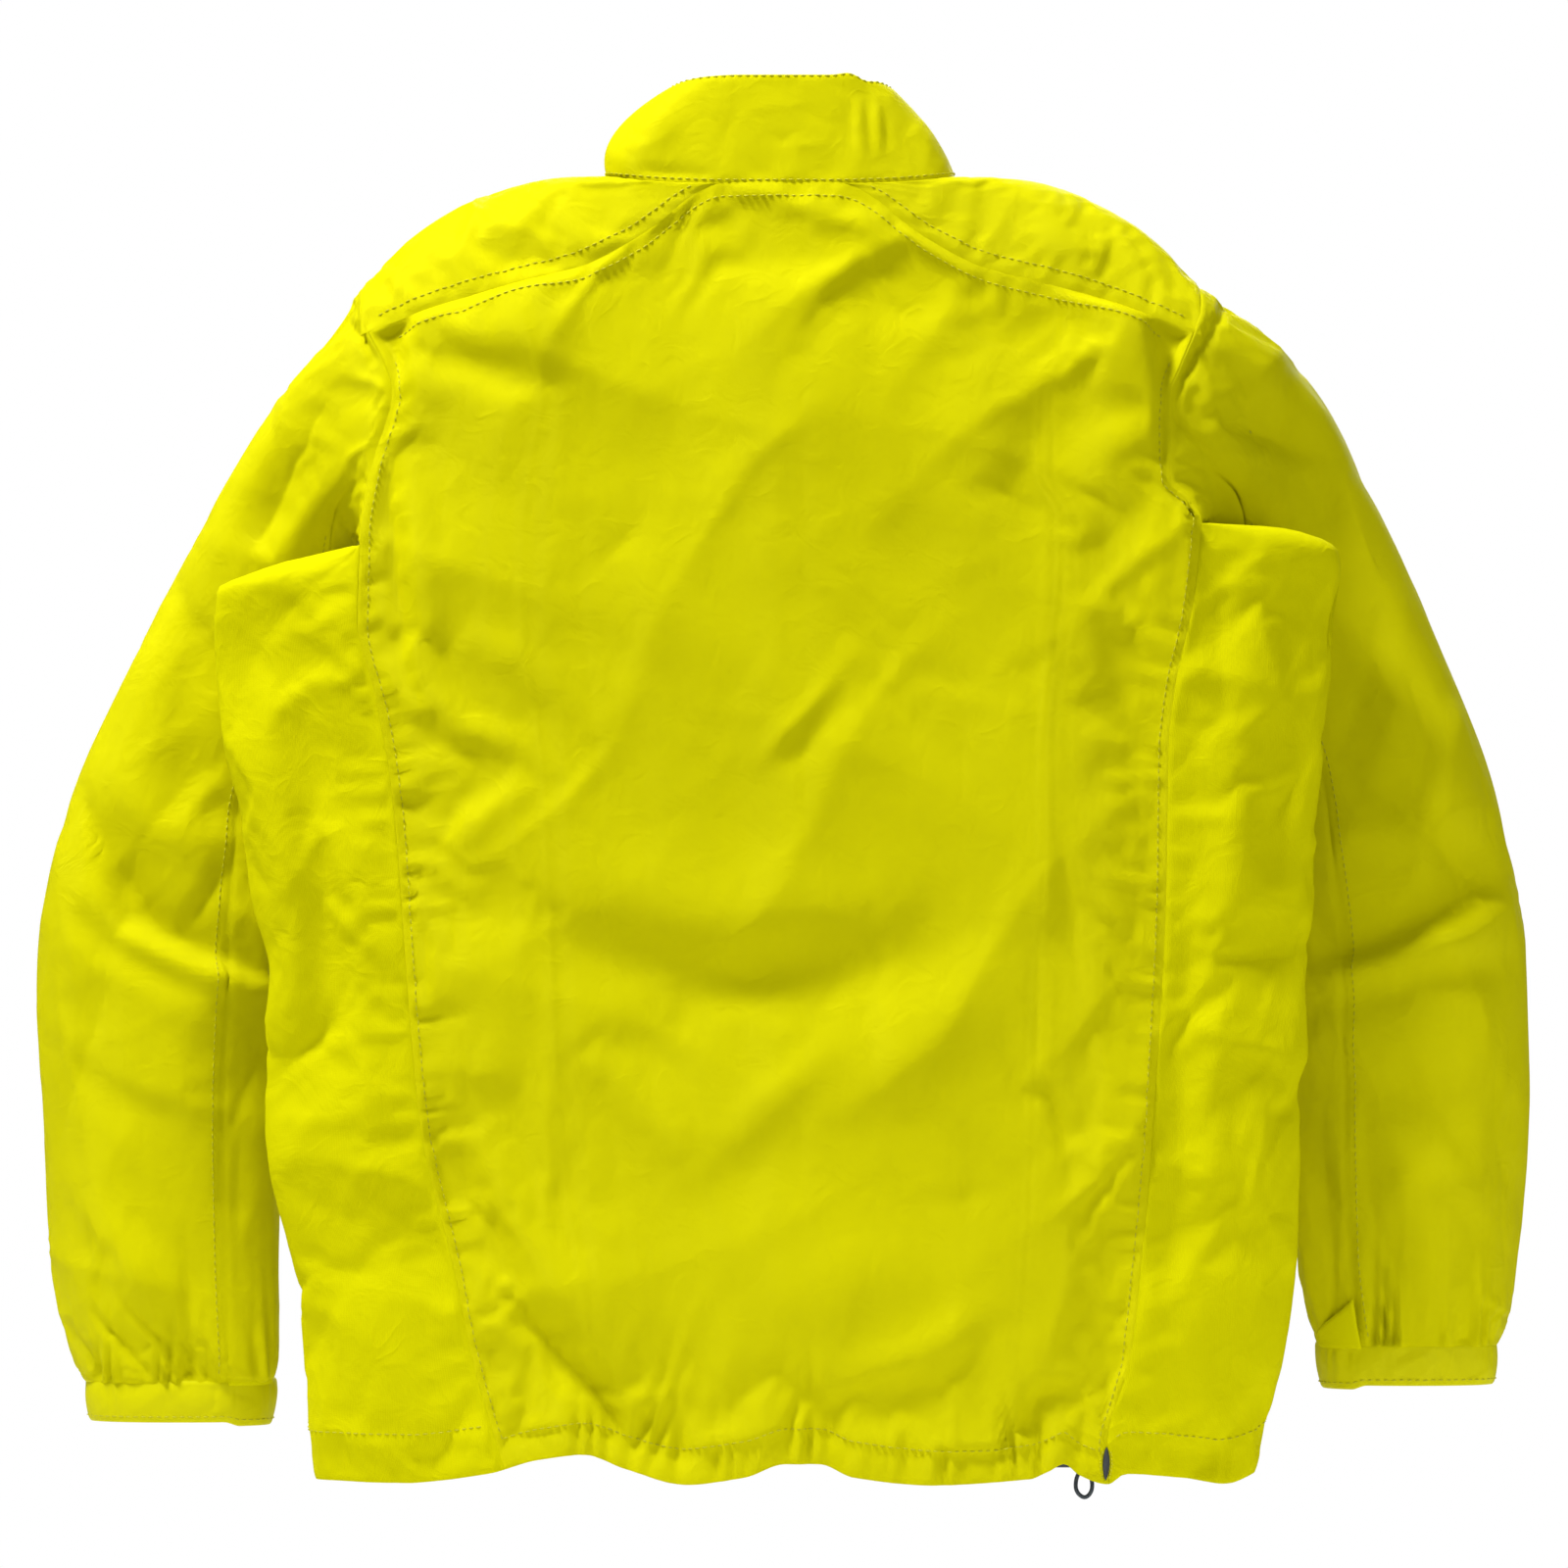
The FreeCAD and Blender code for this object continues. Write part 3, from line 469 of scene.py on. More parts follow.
@dataclass(frozen=True)
class Panel:
    """One cut panel: a face of two shares, padded inside and drawn in at its seams."""

    name: str
    face: Callable[[Array, Array], Array]
    core: tuple[float, float, float]
    rows: int
    cols: int
    lifts: Lifts = ()
    thick: float = 4.6
    seam_thick: float = 1.3
    seam_drop: float = 0.7
    seam_reach: float = 5.0
    settling: Settling | None = None
    wrap: bool = False
    ends: float = 0.012
    facing: int = 0
    fade: float = 6.0
    hem_free: bool = False
    calm: Line = ()
    calm_reach: float = 16.0

    def stir(self, x: Array, z: Array) -> Array:
        """Share of the folds kept at a distance d from the calm line: 1 - exp(-(d/reach)^4).

        Args:
            x: places across, in millimetres.
            z: heights, in millimetres.

        Returns:
            Shares from 0 on the line to 1 far from it, or 1 everywhere without a line.
        """
        if not self.calm:
            return np.ones(np.shape(x))
        return 1 - np.exp(-((beside(self.calm, x, z)[0] / self.calm_reach) ** 4))

    def lifted(self, u: Array, v: Array) -> tuple[Array, Array]:
        """Face with its folds, and its normals.

        The folds are heights over the elevation, so they fade where the face turns edge on:
        the lift is folds(x, z) times the share of the normal along Y, root-wise.

        Args:
            u: shares across the panel.
            v: shares up the panel.

        Returns:
            The grid of points, in millimetres, and the normals of the face without its folds.
        """
        grid_u, grid_v = np.meshgrid(u, v)
        base = self.face(grid_u, grid_v)
        normal = grid_normals(base, np.array(self.core))
        turn = np.abs(normal[..., 1]) ** 0.5
        if self.facing:
            turn = turn * np.clip(normal[..., 1] * self.facing * 3 + 0.5, 0, 1)
        low, high, first, last = edge_way(base, self.wrap)
        edge = np.minimum.reduce([high, first, last] if self.hem_free else [low, high, first, last])
        lift = lift_all(self.lifts, base[..., 0], base[..., 2]) * turn * ease(0, self.fade, edge)
        lift = lift * self.stir(base[..., 0], base[..., 2])
        return base + normal * lift[..., None], normal

    def moves(self, u: Array, v: Array) -> Array:
        """How far the settling cloth moves, simulated on every other row and read between by cubics.

        Args:
            u: shares across the panel.
            v: shares up the panel.

        Returns:
            Moves of shape (len(v), len(u), 3), in millimetres.
        """
        rows, cols = self.rows // 2, self.cols // 2
        coarse_u = np.arange(cols) / cols if self.wrap else np.linspace(0, 1, cols)
        coarse, _ = self.lifted(coarse_u, np.linspace(0, 1, rows))
        away = np.minimum.reduce(edge_way(coarse, self.wrap))
        pinned = np.clip(1.4 - away / 9.0, 0, 1)
        moves = self.settling.settle(coarse, pinned, np.array(self.core), self.wrap)
        moves = moves * self.stir(coarse[..., 0], coarse[..., 2])[..., None]
        LOG.info("%s settled, largest move %.1f mm", self.name, float(np.abs(moves).max()))
        if self.wrap:
            moves = np.concatenate([moves[:, -2:], moves, moves[:, :3]], 1)
            u = (u * cols + 2) / (moves.shape[1] - 1)
        return np.einsum("ai,ijk,bj->abk", finer(rows, v), moves, finer(moves.shape[1], u))

    def build(self, floor: Callable[[Array], Array] | None = None) -> tuple[bpy.types.Object, Array]:
        """Build the panel's mesh.

        Thickness over the way e to the nearest seam is thin + (full - thin) sqrt(1 - (1 - e/r)^2),
        and the face drops by seam_drop (1 - e/r)^2 beside the seam.

        Args:
            floor: optional change of the finished points, such as the hem's wave.

        Returns:
            The object and the grid of its outer face.
        """
        u = np.arange(self.cols) / self.cols if self.wrap else crowded(self.cols, self.ends, 0.03)
        v = crowded(self.rows, self.ends, 0.03)
        points, normal = self.lifted(u, v)
        if self.settling:
            points = points + self.moves(u, v)
        near = np.clip(np.minimum.reduce(edge_way(points, self.wrap)) / self.seam_reach, 0, 1)
        drop = self.seam_drop * (1 - near) ** 2
        full = self.seam_thick + (self.thick - self.seam_thick) * np.sqrt(1 - (1 - near) ** 2)
        outer = points - normal * drop[..., None]
        inner = outer - normal * full[..., None]
        if floor:
            outer, inner = floor(outer), floor(inner)
        return shell(self.name, outer, inner, self.wrap), outer


# ------------------------------------------------------------------ sewing
@dataclass(frozen=True)
class Sewing:
    """A row of single stitches along a path on the cloth."""

    length: float = 3.0
    pitch: float = 4.2
    radius: float = 0.42

    def sew(self, paths: list[tuple[Array, Array]]) -> tuple[Array, Array]:
        """Points and quads of every stitch along some paths.

        A stitch is a rod whose radius goes as sqrt(1 - s^2) along it, s from -1 to 1, and whose
        line arcs down into the cloth at both ends.

        Args:
            paths: pairs of a path (n, 3) and the normals beside it, in millimetres.

        Returns:
            All points (k, 3) and all quads (m, 4).
        """
        s = np.array([-1.0, -0.8, 0.0, 0.8, 1.0])
        turn = np.arange(6) * math.pi / 3
        points, quads, start = [], [], 0
        for path, normal in paths:
            way = np.concatenate([[0.0], np.cumsum(np.linalg.norm(np.diff(path, axis=0), axis=1))])
            marks = np.arange(self.pitch, way[-1] - self.pitch, self.pitch)
            if len(marks) == 0:
                continue

            def read(values: Array, at: Array) -> Array:
                """Values along the path, read at ways gone."""
                return np.stack([np.interp(at, way, values[:, k]) for k in range(3)], -1)

            centre = read(path, marks)
            ahead = read(path, marks + 0.8) - read(path, marks - 0.8)
            ahead /= np.linalg.norm(ahead, axis=1, keepdims=True)
            up = read(normal, marks)
            up /= np.linalg.norm(up, axis=1, keepdims=True)
            out = np.cross(ahead, up)
            spread = np.sqrt(np.maximum(1 - s**2, 0.02)) * self.radius
            line = (centre[:, None, :] + ahead[:, None, :] * (s * self.length / 2)[None, :, None]
                    + up[:, None, :] * (0.35 - 0.5 * s**2)[None, :, None])
            ring = (up[:, None, None, :] * (spread[:, None] * np.cos(turn))[None, :, :, None]
                    + out[:, None, None, :] * (spread[:, None] * np.sin(turn))[None, :, :, None])
            mass = line[:, :, None, :] + ring
            count = len(marks)
            base = grid_quads(5, 6, 0, True)
            caps = np.array([[0, 1, 2, 3], [0, 3, 4, 5], [27, 26, 25, 24], [29, 28, 27, 24]])
            one = np.concatenate([base, caps])
            quads.append((one[None] + (np.arange(count) * 30)[:, None, None]).reshape(-1, 4) + start)
            points.append(mass.reshape(-1, 3))
            start += count * 30
        return np.concatenate(points), np.concatenate(quads)


# ------------------------------------------------------------------ shape of the body
@dataclass(frozen=True)
class BodyShape:
    """Sections of the body by height: half width, back, side and front, in millimetres."""

    hem: float = -679.0
    armhole: float = 222.0
    left_width: Table = ((-679, 247), (-591, 254), (-498, 271), (-420, 272), (-379, 282), (-343, 287),
                         (-296, 293), (-216, 299), (-185, 285), (-150, 268), (-110, 256), (-74, 241),
                         (-48, 216), (-21, 185), (-1.5, 143), (2.6, 122), (4.2, 92))
    right_width: Table = ((-679, 252), (-591, 269), (-498, 275), (-420, 277), (-343, 283), (-265, 289),
                          (-200, 294), (-185, 287), (-150, 268), (-110, 256), (-74, 241), (-48, 216),
                          (-21, 185), (-1.5, 143), (2.6, 122), (4.2, 92))
    back: Table = ((-679, -15), (-498, -18), (-369, -20), (-216, -20), (-110, -18), (-48, -14), (0, -10),
                   (4.2, -9))
    side: Table = ((-679, 33), (-640, 29), (-560, 14), (-498, 10), (-420, 10), (-206, 10), (-150, 16),
                   (-110, 21), (-74, 27), (-21, 33), (4.2, 36))
    front: Table = ((-679, 82), (-62, 82), (-30, 70), (-12, 58), (0, 47), (4.2, 38))
    front_power: Table = ((-679, 2.5), (-590, 2.0), (-498, 1.85), (-420, 1.7), (-330, 1.4), (-260, 1.3),
                          (-200, 1.35), (-170, 1.7), (-120, 2.2), (-74, 2.3), (4.2, 2.4))
    back_power: float = 2.6
    underarm_left: float = -190.0
    underarm_right: float = -178.0
    arm_left: Table = ((-200, 222), (-188, 222), (-151, 216), (-110, 205), (-95, 209), (-80, 217), (-66, 222),
                       (0, 222))
    arm_right: Table = ((-188, 222), (-178, 222), (-168, 216), (-157, 205), (-115, 204), (-95, 211),
                        (-78, 218), (-62, 222), (0, 222))
    back_seam_left: Table = ((-679, 146), (-655, 153), (-619, 163), (-575, 172), (-498, 190), (-410, 198),
                             (-353, 202), (-314, 206), (-275, 213), (-234, 223), (-190, 222))
    back_seam_right: Table = ((-679, 173), (-660, 172), (-622, 184), (-580, 189), (-498, 196), (-369, 203),
                              (-301, 204), (-265, 208), (-224, 217), (-178, 222))
    front_seam: Table = ((-679, 185), (-498, 205), (-353, 215), (-275, 220), (-200, 222), (-170, 222))
    wing_left: Table = ((-226, 298), (-214, 296), (-206, 280), (-197, 250), (-191, 226))
    wing_right: Table = ((-206, 294), (-195, 292), (-188, 284), (-182, 260), (-179, 226))
    hem_edge: Table = ((-300, -684), (-246, -685), (-200, -686), (-153, -680), (-128, -673), (-104, -670),
                       (-81, -678), (-50, -686), (-19, -682), (2, -675), (20, -675), (38, -682), (79, -686),
                       (131, -683), (141, -679), (149, -675), (157, -681), (172, -686), (182, -681),
                       (213, -684), (234, -687), (250, -682), (258, -676), (300, -676))

    wave_reach: float = 55.0
    front_rise: float = 6.0

    def width(self, x: Array, z: Array) -> Array:
        """Half width at a height, from the table of the side that x is on."""
        return np.where(x < 0, smooth_table(self.left_width, z), smooth_table(self.right_width, z))

    def back_y(self, x: Array, z: Array) -> Array:
        """Back face: side - (side - back) (1 - (|x|/width)^p)^(1/p).

        Args:
            x: places across, in millimetres.
            z: heights, in millimetres.

        Returns:
            Places in depth, in millimetres.
        """
        share = np.minimum(np.abs(x) / self.width(x, z), 0.9999)
        side = smooth_table(self.side, z)
        bow = (1 - share**self.back_power) ** (1 / self.back_power)
        return side - (side - smooth_table(self.back, z)) * bow

    def front_y(self, x: Array, z: Array) -> Array:
        """Front face: side + (front - side) (1 - (|x|/width)^p)^(1/p), p falling by height.

        Args:
            x: places across, in millimetres.
            z: heights, in millimetres.

        Returns:
            Places in depth, in millimetres.
        """
        power = smooth_table(self.front_power, z)
        share = np.minimum(np.abs(x) / self.width(x, z), 0.9999)
        side = smooth_table(self.side, z)
        return side + (smooth_table(self.front, z) - side) * (1 - share**power) ** (1 / power)

    def ridge(self, x: Array) -> Array:
        """Height of the shoulder line at a distance from the centre, by reading the width table back."""
        heights = np.linspace(-150, 4.2, 900)
        widths = smooth_table(self.right_width, heights)
        return np.where(np.abs(x) <= 92, 4.2, np.interp(-np.abs(x), -widths, heights))

    def hem_wave(self, points: Array) -> Array:
        """Carry points up or down with the hem's uneven edge, at the back, or its even rise, at the front.

        The move fades with the height h above the hem as exp(-(h/reach)^2).

        Args:
            points: points in millimetres.

        Returns:
            The moved points.
        """
        x, y, z = points[..., 0], points[..., 1], points[..., 2]
        wave = smooth_table(self.hem_edge, x) - self.hem
        fade = np.exp(-(((z - self.hem) / self.wave_reach) ** 2))
        rear = 1 - ease(24, 46, y)
        moved = points.copy()
        moved[..., 2] = z + (wave * rear + self.front_rise * (1 - rear)) * fade
        return moved

    def underarm(self, side: int) -> float:
        """Height where a side panel begins."""
        return self.underarm_left if side < 0 else self.underarm_right

    def back_end(self, side: int, z: Array) -> Array:
        """Edge of the back panel: side seam, then armhole."""
        seam = self.back_seam_left if side < 0 else self.back_seam_right
        return np.where(z < self.underarm(side), smooth_table(seam, z), self.arm_x(side, z))

    def arm_x(self, side: int, z: Array) -> Array:
        """Rear edge of the armhole: it bows towards the centre below the shoulder."""
        return smooth_table(self.arm_left if side < 0 else self.arm_right, z)

    def front_end(self, side: int, z: Array) -> Array:
        """Edge of a front panel: side seam, then armhole."""
        return np.where(z < self.underarm(side), smooth_table(self.front_seam, z), self.armhole)


BODY = BodyShape()
YOKE_BACK: Table = ((0, -0.1), (30, -0.5), (76, -30), (105, -45), (140, -54), (185, -67), (222, -80))
YOKE_FRONT: Table = ((88, -12), (120, -34), (160, -58), (200, -82), (222, -95))
NECK_FRONT = ((8.5, -62.0), (40.0, -56.0), (66.0, -40.0), (80.0, -25.0), (88.0, -12.0))
SHOULDER_POWER = 2.5


def back_face(u: Array, v: Array) -> Array:
    """Back panel: u from the left edge to the right, v from the hem to the yoke seam.

    Args:
        u: shares across.
        v: shares up.

    Returns:
        Points in millimetres.
    """
    q = 2 * u - 1
    top = smooth_table(YOKE_BACK, np.abs(q) * BODY.armhole) + 1.4
    z = BODY.hem + v * (top - BODY.hem)
    x = q * np.where(q < 0, BODY.back_end(-1, z), BODY.back_end(1, z))
    return np.stack([x, BODY.back_y(x, z), z], -1)


def front_face(side: int) -> Callable[[Array, Array], Array]:
    """Front panel of one side: u from the zip edge to the side seam, v from the hem up.

    Args:
        side: -1 for the left, 1 for the right.

    Returns:
        The panel's face, a function of two grids of shares that gives points.
    """
    def face(u: Array, v: Array) -> Array:
        """Neck line below u = 0.42, then the yoke seam."""
        corner = 0.42
        neck = along_rows(NECK_FRONT, np.clip(u / corner, 0, 1))
        out_x = 88 + (BODY.armhole - 88) * np.clip((u - corner) / (1 - corner), 0, 1)
        top_x = np.where(u <= corner, neck[..., 0], out_x)
        top_z = np.where(u <= corner, neck[..., 1], smooth_table(YOKE_FRONT, out_x))
        z = BODY.hem + v * (top_z - BODY.hem)
        share = (top_x - 8.5) / (BODY.armhole - 8.5)
        x = 8.5 + share * (BODY.front_end(side, z) - 8.5)
        return np.stack([side * x, BODY.front_y(side * x, z), z], -1)
    return face


def side_face(side: int) -> Callable[[Array, Array], Array]:
    """Side panel: u from its back seam round the side to its front seam, v from the hem up.

    Args:
        side: -1 for the left, 1 for the right.

    Returns:
        The panel's face, a function of two grids of shares that gives points.
    """
    def face(u: Array, v: Array) -> Array:
        """Back arc for u below a half, front arc above it; x = tip sin^(2/p), even in angle."""
        top = BODY.underarm(side) - 1
        z = BODY.hem + v * (top - BODY.hem)
        wing = BODY.wing_left if side < 0 else BODY.wing_right
        tip = np.where(z > wing[0][0], smooth_table(wing, z), BODY.width(np.full_like(z, side), z))
        side_y = smooth_table(BODY.side, z)
        rear = u < 0.5
        seam = BODY.back_end(side, z - 2)
        start = np.minimum(np.where(rear, seam, BODY.front_end(side, z - 2)), tip - 4)
        power = np.where(rear, BODY.back_power, smooth_table(BODY.front_power, z))
        first = np.arcsin(np.clip((start / tip) ** (power / 2), 0, 1))
        share = np.where(rear, u * 2, 2 - u * 2)
        angle = first + (math.pi / 2 - first) * share
        x = tip * np.sin(angle) ** (2 / power)
        reach = (1 - (start / tip) ** power) ** (1 / power)
        bow = np.maximum(0, 1 - np.minimum(x / tip, 1) ** power) ** (1 / power) / np.maximum(reach, 1e-6)
        edge = np.where(rear, BODY.back_y(side * start, z), BODY.front_y(side * start, z))
        return np.stack([side * x, side_y + (edge - side_y) * bow, z], -1)
    return face


def root_of(drop: Array) -> Array:
    """Signed root of a drop below the shoulder line, in which the rounded shoulder is even."""
    return np.sign(drop) * np.abs(drop) ** (1 / SHOULDER_POWER)


def yoke_face(side: int) -> Callable[[Array, Array], Array]:
    """Shoulder yoke: u from the neck to the armhole, v from its back seam to its front seam.

    Args:
        side: -1 for the left, 1 for the right.

    Returns:
        The yoke's face, a function of two grids of shares that gives points.
    """
    def face(u: Array, v: Array) -> Array:
        """Coons patch of the four edges in (distance out, signed root of the drop)."""
        first = -(4.7 ** (1 / SHOULDER_POWER))
        neck_rows = ((30, first), (54, 0.95 * first), (73, 0.8 * first), (85, 0.55 * first), (91, 0.25 * first),
                     (92, 0.3), (91.5, 1.1), (90.5, 2.0), (88, 16.2 ** (1 / SHOULDER_POWER)))
        neck = along_rows(neck_rows, v)
        out = BODY.armhole
        back_x, front_x = 30 + (out - 30) * u, 88 + (out - 88) * u
        back_root = root_of(smooth_table(YOKE_BACK, back_x) - BODY.ridge(back_x))
        front_root = root_of(BODY.ridge(front_x) - smooth_table(YOKE_FRONT, front_x))
        low = float(root_of(smooth_table(YOKE_BACK, out) - BODY.ridge(np.array(out))))
        high = float(root_of(BODY.ridge(np.array(out)) - smooth_table(YOKE_FRONT, out)))
        corners = ((30.0, first), (88.0, float(neck_rows[-1][1])), (out, low), (out, high))
        edges = ((neck[..., 0], np.full_like(u, out), back_x, front_x),
                 (neck[..., 1], low + (high - low) * v, back_root, front_root))
        pair = []
        for k, (at_neck, at_arm, at_back, at_front) in enumerate(edges):
            value = (1 - u) * at_neck + u * at_arm + (1 - v) * at_back + v * at_front
            value = value - (1 - u) * ((1 - v) * corners[0][k] + v * corners[1][k])
            pair.append(value - u * ((1 - v) * corners[2][k] + v * corners[3][k]))
        x, root = pair
        z = BODY.ridge(x) - np.abs(root) ** SHOULDER_POWER
        y = np.where(root < 0, BODY.back_y(side * x, z), BODY.front_y(side * x, z))
        return np.stack([side * x, y, z], -1)
    return face


# ------------------------------------------------------------------ collar
COLLAR_BASE = ((0, -10, 0.6), (30, -9.6, 0.6), (58, -7.5, 1.6), (80, -1, 3.8), (91, 16, 5.8),
               (92.5, 36, 6.4), (90, 53, -7), (77, 67, -26), (45, 79.6, -52), (8.5, 82, -60.5))
COLLAR_TOP = ((0, -5, 57), (22, -4.5, 57), (42, -1, 56), (54, 9, 53.5), (59, 22, 50), (59, 36, 44),
              (54, 51, 36), (44, 66, 26), (28, 78, 13), (8.5, 82, 6))


COLLAR_CORE = (0.0, 38.0, -15.0)


def collar_face(u: Array, v: Array) -> Array:
    """Collar: u from the left zip edge round the back to the right, v from its seam to its edge.

    The face runs straight from seam to edge and swells by 4 v (1 - v) times a bulge, more on the left.

    Args:
        u: shares across.
        v: shares up.

    Returns:
        Points in millimetres.
    """
    t = 2 * u - 1
    side = np.where(t < 0, -1.0, 1.0)
    base, top = along_rows(COLLAR_BASE, np.abs(t)), along_rows(COLLAR_TOP, np.abs(t))
    point = base + (top - base) * v[..., None]
    round_part = np.sin(math.pi * np.minimum(np.abs(t) * 1.1, 1)) ** 2
    bulge = np.where(t < 0, 13.0, 5.0) * 4 * v * (1 - v) * round_part
    dip = np.where(t > 0, 1.0, 0.0) * (1.6 * np.exp(-(((point[..., 0] - 36) / 6) ** 2))
                                       - 1.6 * np.exp(-(((point[..., 0] - 45) / 5) ** 2))) * v**2
    tuck = 1.6 * (1 - v) ** 3
    return np.stack([side * (point[..., 0] + bulge), point[..., 1], point[..., 2] + dip - tuck], -1)


# ------------------------------------------------------------------ sleeves
SLEEVE_RINGS = {
    -1: ((223.8, 22, -118, 90, 59, 27), (231, 32, -130, 98, 53, 29), (246, 56, -154, 118, 47, 32),
         (263, 76, -199, 140, 49, 35), (296, 81, -265, 157, 51, 38), (319, 82, -343, 168, 62, 40),
         (328, 82, -420, 176, 69, 40), (329, 82, -498, 180, 66, 39), (327, 82, -575, 181, 63, 37),
         (323, 82, -618, 181, 57, 34), (320.5, 82, -637.5, 180, 51, 30)),
    1: ((223.8, 22, -116, 90, 59, 27), (234, 32, -122, 98, 55, 29), (256, 56, -146, 118, 50, 32),
        (273, 76, -192, 140, 52, 35), (299, 81, -260, 157, 54, 38), (322, 82, -337, 168, 61, 40),
        (331, 82, -410, 176, 67, 40), (332.5, 82, -487, 180, 67, 39), (332.5, 82, -558, 181, 63, 37),
        (334, 82, -600, 181, 56, 34), (334, 82, -618, 180, 48.5, 30)),
}
CUFF_BOTTOM = {-1: (321.0, 48.5, 29.0), 1: (335.0, 46.0, 29.0)}
SLEEVE_POWER = 2.3
CUFF_HIGH = 19.5
CUFF_Y = 82.0
SHOULDER_Z = -53.5
MOUTH_BELOW = 4.0
MOUTH_ROUND = 4.5
MOUTH_SHARE = 0.19
UNDER_SEAMS = (117.0, 243.0)


@dataclass(frozen=True)
class SleeveShape:
    """One sleeve as rings along its length, joined to the armhole edge at its mouth."""

    side: int

    def ring(self, rows: Array, angle: Array) -> Array:
        """Superellipse ring of rows (x, y, z, turn, half width, half depth); angle 0 outer, by the back.

        Args:
            rows: ring values, one more axis than angle.
            angle: degrees round the sleeve.

        Returns:
            Points in millimetres.
        """
        c, s = np.cos(np.radians(angle)), np.sin(np.radians(angle))
        across = np.sign(c) * np.abs(c) ** (2 / SLEEVE_POWER) * rows[..., 4]
        down = np.sign(s) * np.abs(s) ** (2 / SLEEVE_POWER) * rows[..., 5]
        turn = np.radians(rows[..., 3])
        return np.stack([self.side * (rows[..., 0] - across * np.cos(turn)), rows[..., 1] - down,
                         rows[..., 2] + across * np.sin(turn)], -1)

    def mouth(self, angle: Array) -> Array:
        """Armhole edge in the plane of the armhole, closed by a half round at the underarm.

        Height is middle + half |cos|^0.9, and y is the body's back or front face there, drawn in
        to their middle by sqrt(1 - s^2) over the lowest MOUTH_ROUND millimetres.

        Args:
            angle: degrees round the sleeve.

        Returns:
            Points in millimetres.
        """
        c, s = np.cos(np.radians(angle)), np.sin(np.radians(angle))
        high, low = SHOULDER_Z, BODY.underarm(self.side) - MOUTH_BELOW
        z = (high + low) / 2 + (high - low) / 2 * np.sign(c) * np.abs(c) ** 0.9
        x = self.side * np.where(s > 0, BODY.arm_x(self.side, z), BODY.armhole)
        back, front = BODY.back_y(x, z), BODY.front_y(x, z)
        middle = (back + front) / 2
        share = np.clip((z - low) / MOUTH_ROUND, 0, 1)
        closing = np.sqrt(np.maximum(1 - (1 - share) ** 2, 0))
        edge = np.where(s > 0, back, front)
        return np.stack([x, middle + (edge - middle) * closing, z], -1)

    def face(self, u: Array, v: Array) -> Array:
        """Sleeve: u round from the outer edge by the back, v from the armhole to the cuff seam.

        Args:
            u: shares round.
            v: shares down.

        Returns:
            Points in millimetres.
        """
        angle = 360 * u
        table = SLEEVE_RINGS[self.side]
        point = self.ring(along_rows(table, v), angle)
        clear = 3.5 * ease(-190, -225, point[..., 2]) * ease(150, 180, 180 - np.abs(angle - 180))
        point[..., 0] += self.side * clear
        weight = (1 - ease(0.0, MOUTH_SHARE, v))[..., None]
        return point * (1 - weight) + self.mouth(angle) * weight

    def cuff_face(self, u: Array, v: Array) -> Array:
        """Cuff band: u round as on the sleeve, v from its lower edge to the sleeve, bowed by sin(pi v).

        Args:
            u: shares round.
            v: shares up.

        Returns:
            Points in millimetres.
        """
        x, wide, deep = CUFF_BOTTOM[self.side]
        top = SLEEVE_RINGS[self.side][-1]
        angle = 360 * u
        drop = np.where(np.abs(angle - 180) < 63, 2.2, 0.0) * ease(63, 50, np.abs(angle - 180)) * (1 - v)
        bow = 1.2 * np.sin(math.pi * v)
        rows = np.stack([x + (top[0] - x) * v, np.full_like(v, top[1]),
                         top[2] - CUFF_HIGH + (CUFF_HIGH + 3) * v - drop, np.full_like(v, 180.0),
                         wide + (top[4] - wide) * v + bow, deep + (top[5] - deep) * v + bow], -1)
        return self.ring(rows, angle)

    def gusset_face(self, u: Array, v: Array) -> Array:
        """Cuff gusset: u between the two under-sleeve seams, v from the cuff up to its slanted edge.

        Args:
            u: shares between the seams.
            v: shares up.

        Returns:
            Points in millimetres.
        """
        angle = UNDER_SEAMS[0] + (UNDER_SEAMS[1] - UNDER_SEAMS[0]) * u
        away = np.abs(angle - 180) / 63.0
        rise = 5 + 34 * away**1.2
        low = SLEEVE_RINGS[self.side][-1][2] - 1
        share = 1 - (v * rise) / (abs(SLEEVE_RINGS[self.side][-3][2] - low)) * 0.2
        point = self.face(angle / 360, share)
        centre = np.array([self.side * SLEEVE_RINGS[self.side][-1][0], CUFF_Y, 0.0])
        out = point - centre
        out[..., 2] = 0
        out /= np.maximum(np.linalg.norm(out, axis=-1, keepdims=True), 1e-6)
        return point + out * (1.3 - 0.5 * v[..., None])


# ------------------------------------------------------------------ finishes
Value = bpy.types.NodeSocket


class Nodes:
    """Short hand for adding and joining nodes in one tree."""

    def __init__(self, tree: bpy.types.NodeTree) -> None:
        """Keep the tree."""
        self.tree = tree

    def add(self, kind: str, **settings: object) -> bpy.types.Node:
        """Add a node, setting its properties by name."""
        node = self.tree.nodes.new(kind)
        for key, value in settings.items():
            setattr(node, key, value)
        return node

    def join(self, source: Value, target: Value) -> None:
        """Join two sockets."""
        self.tree.links.new(source, target)

    def sum(self, operation: str, first: Value | float, second: Value | float = 0.0,
            third: Value | float | None = None) -> Value:
        """Math node of one operation on sockets or numbers.

        Args:
            operation: Blender's name of the operation.
            first: first term.
            second: second term.
            third: third term, where the operation has one.

        Returns:
            The result's socket.
        """
        node = self.add("ShaderNodeMath", operation=operation)
        for k, term in enumerate((first, second, third)):
            if term is None:
                continue
            if isinstance(term, (int, float)):
                node.inputs[k].default_value = term
            else:
                self.join(term, node.inputs[k])
        return node.outputs[0]


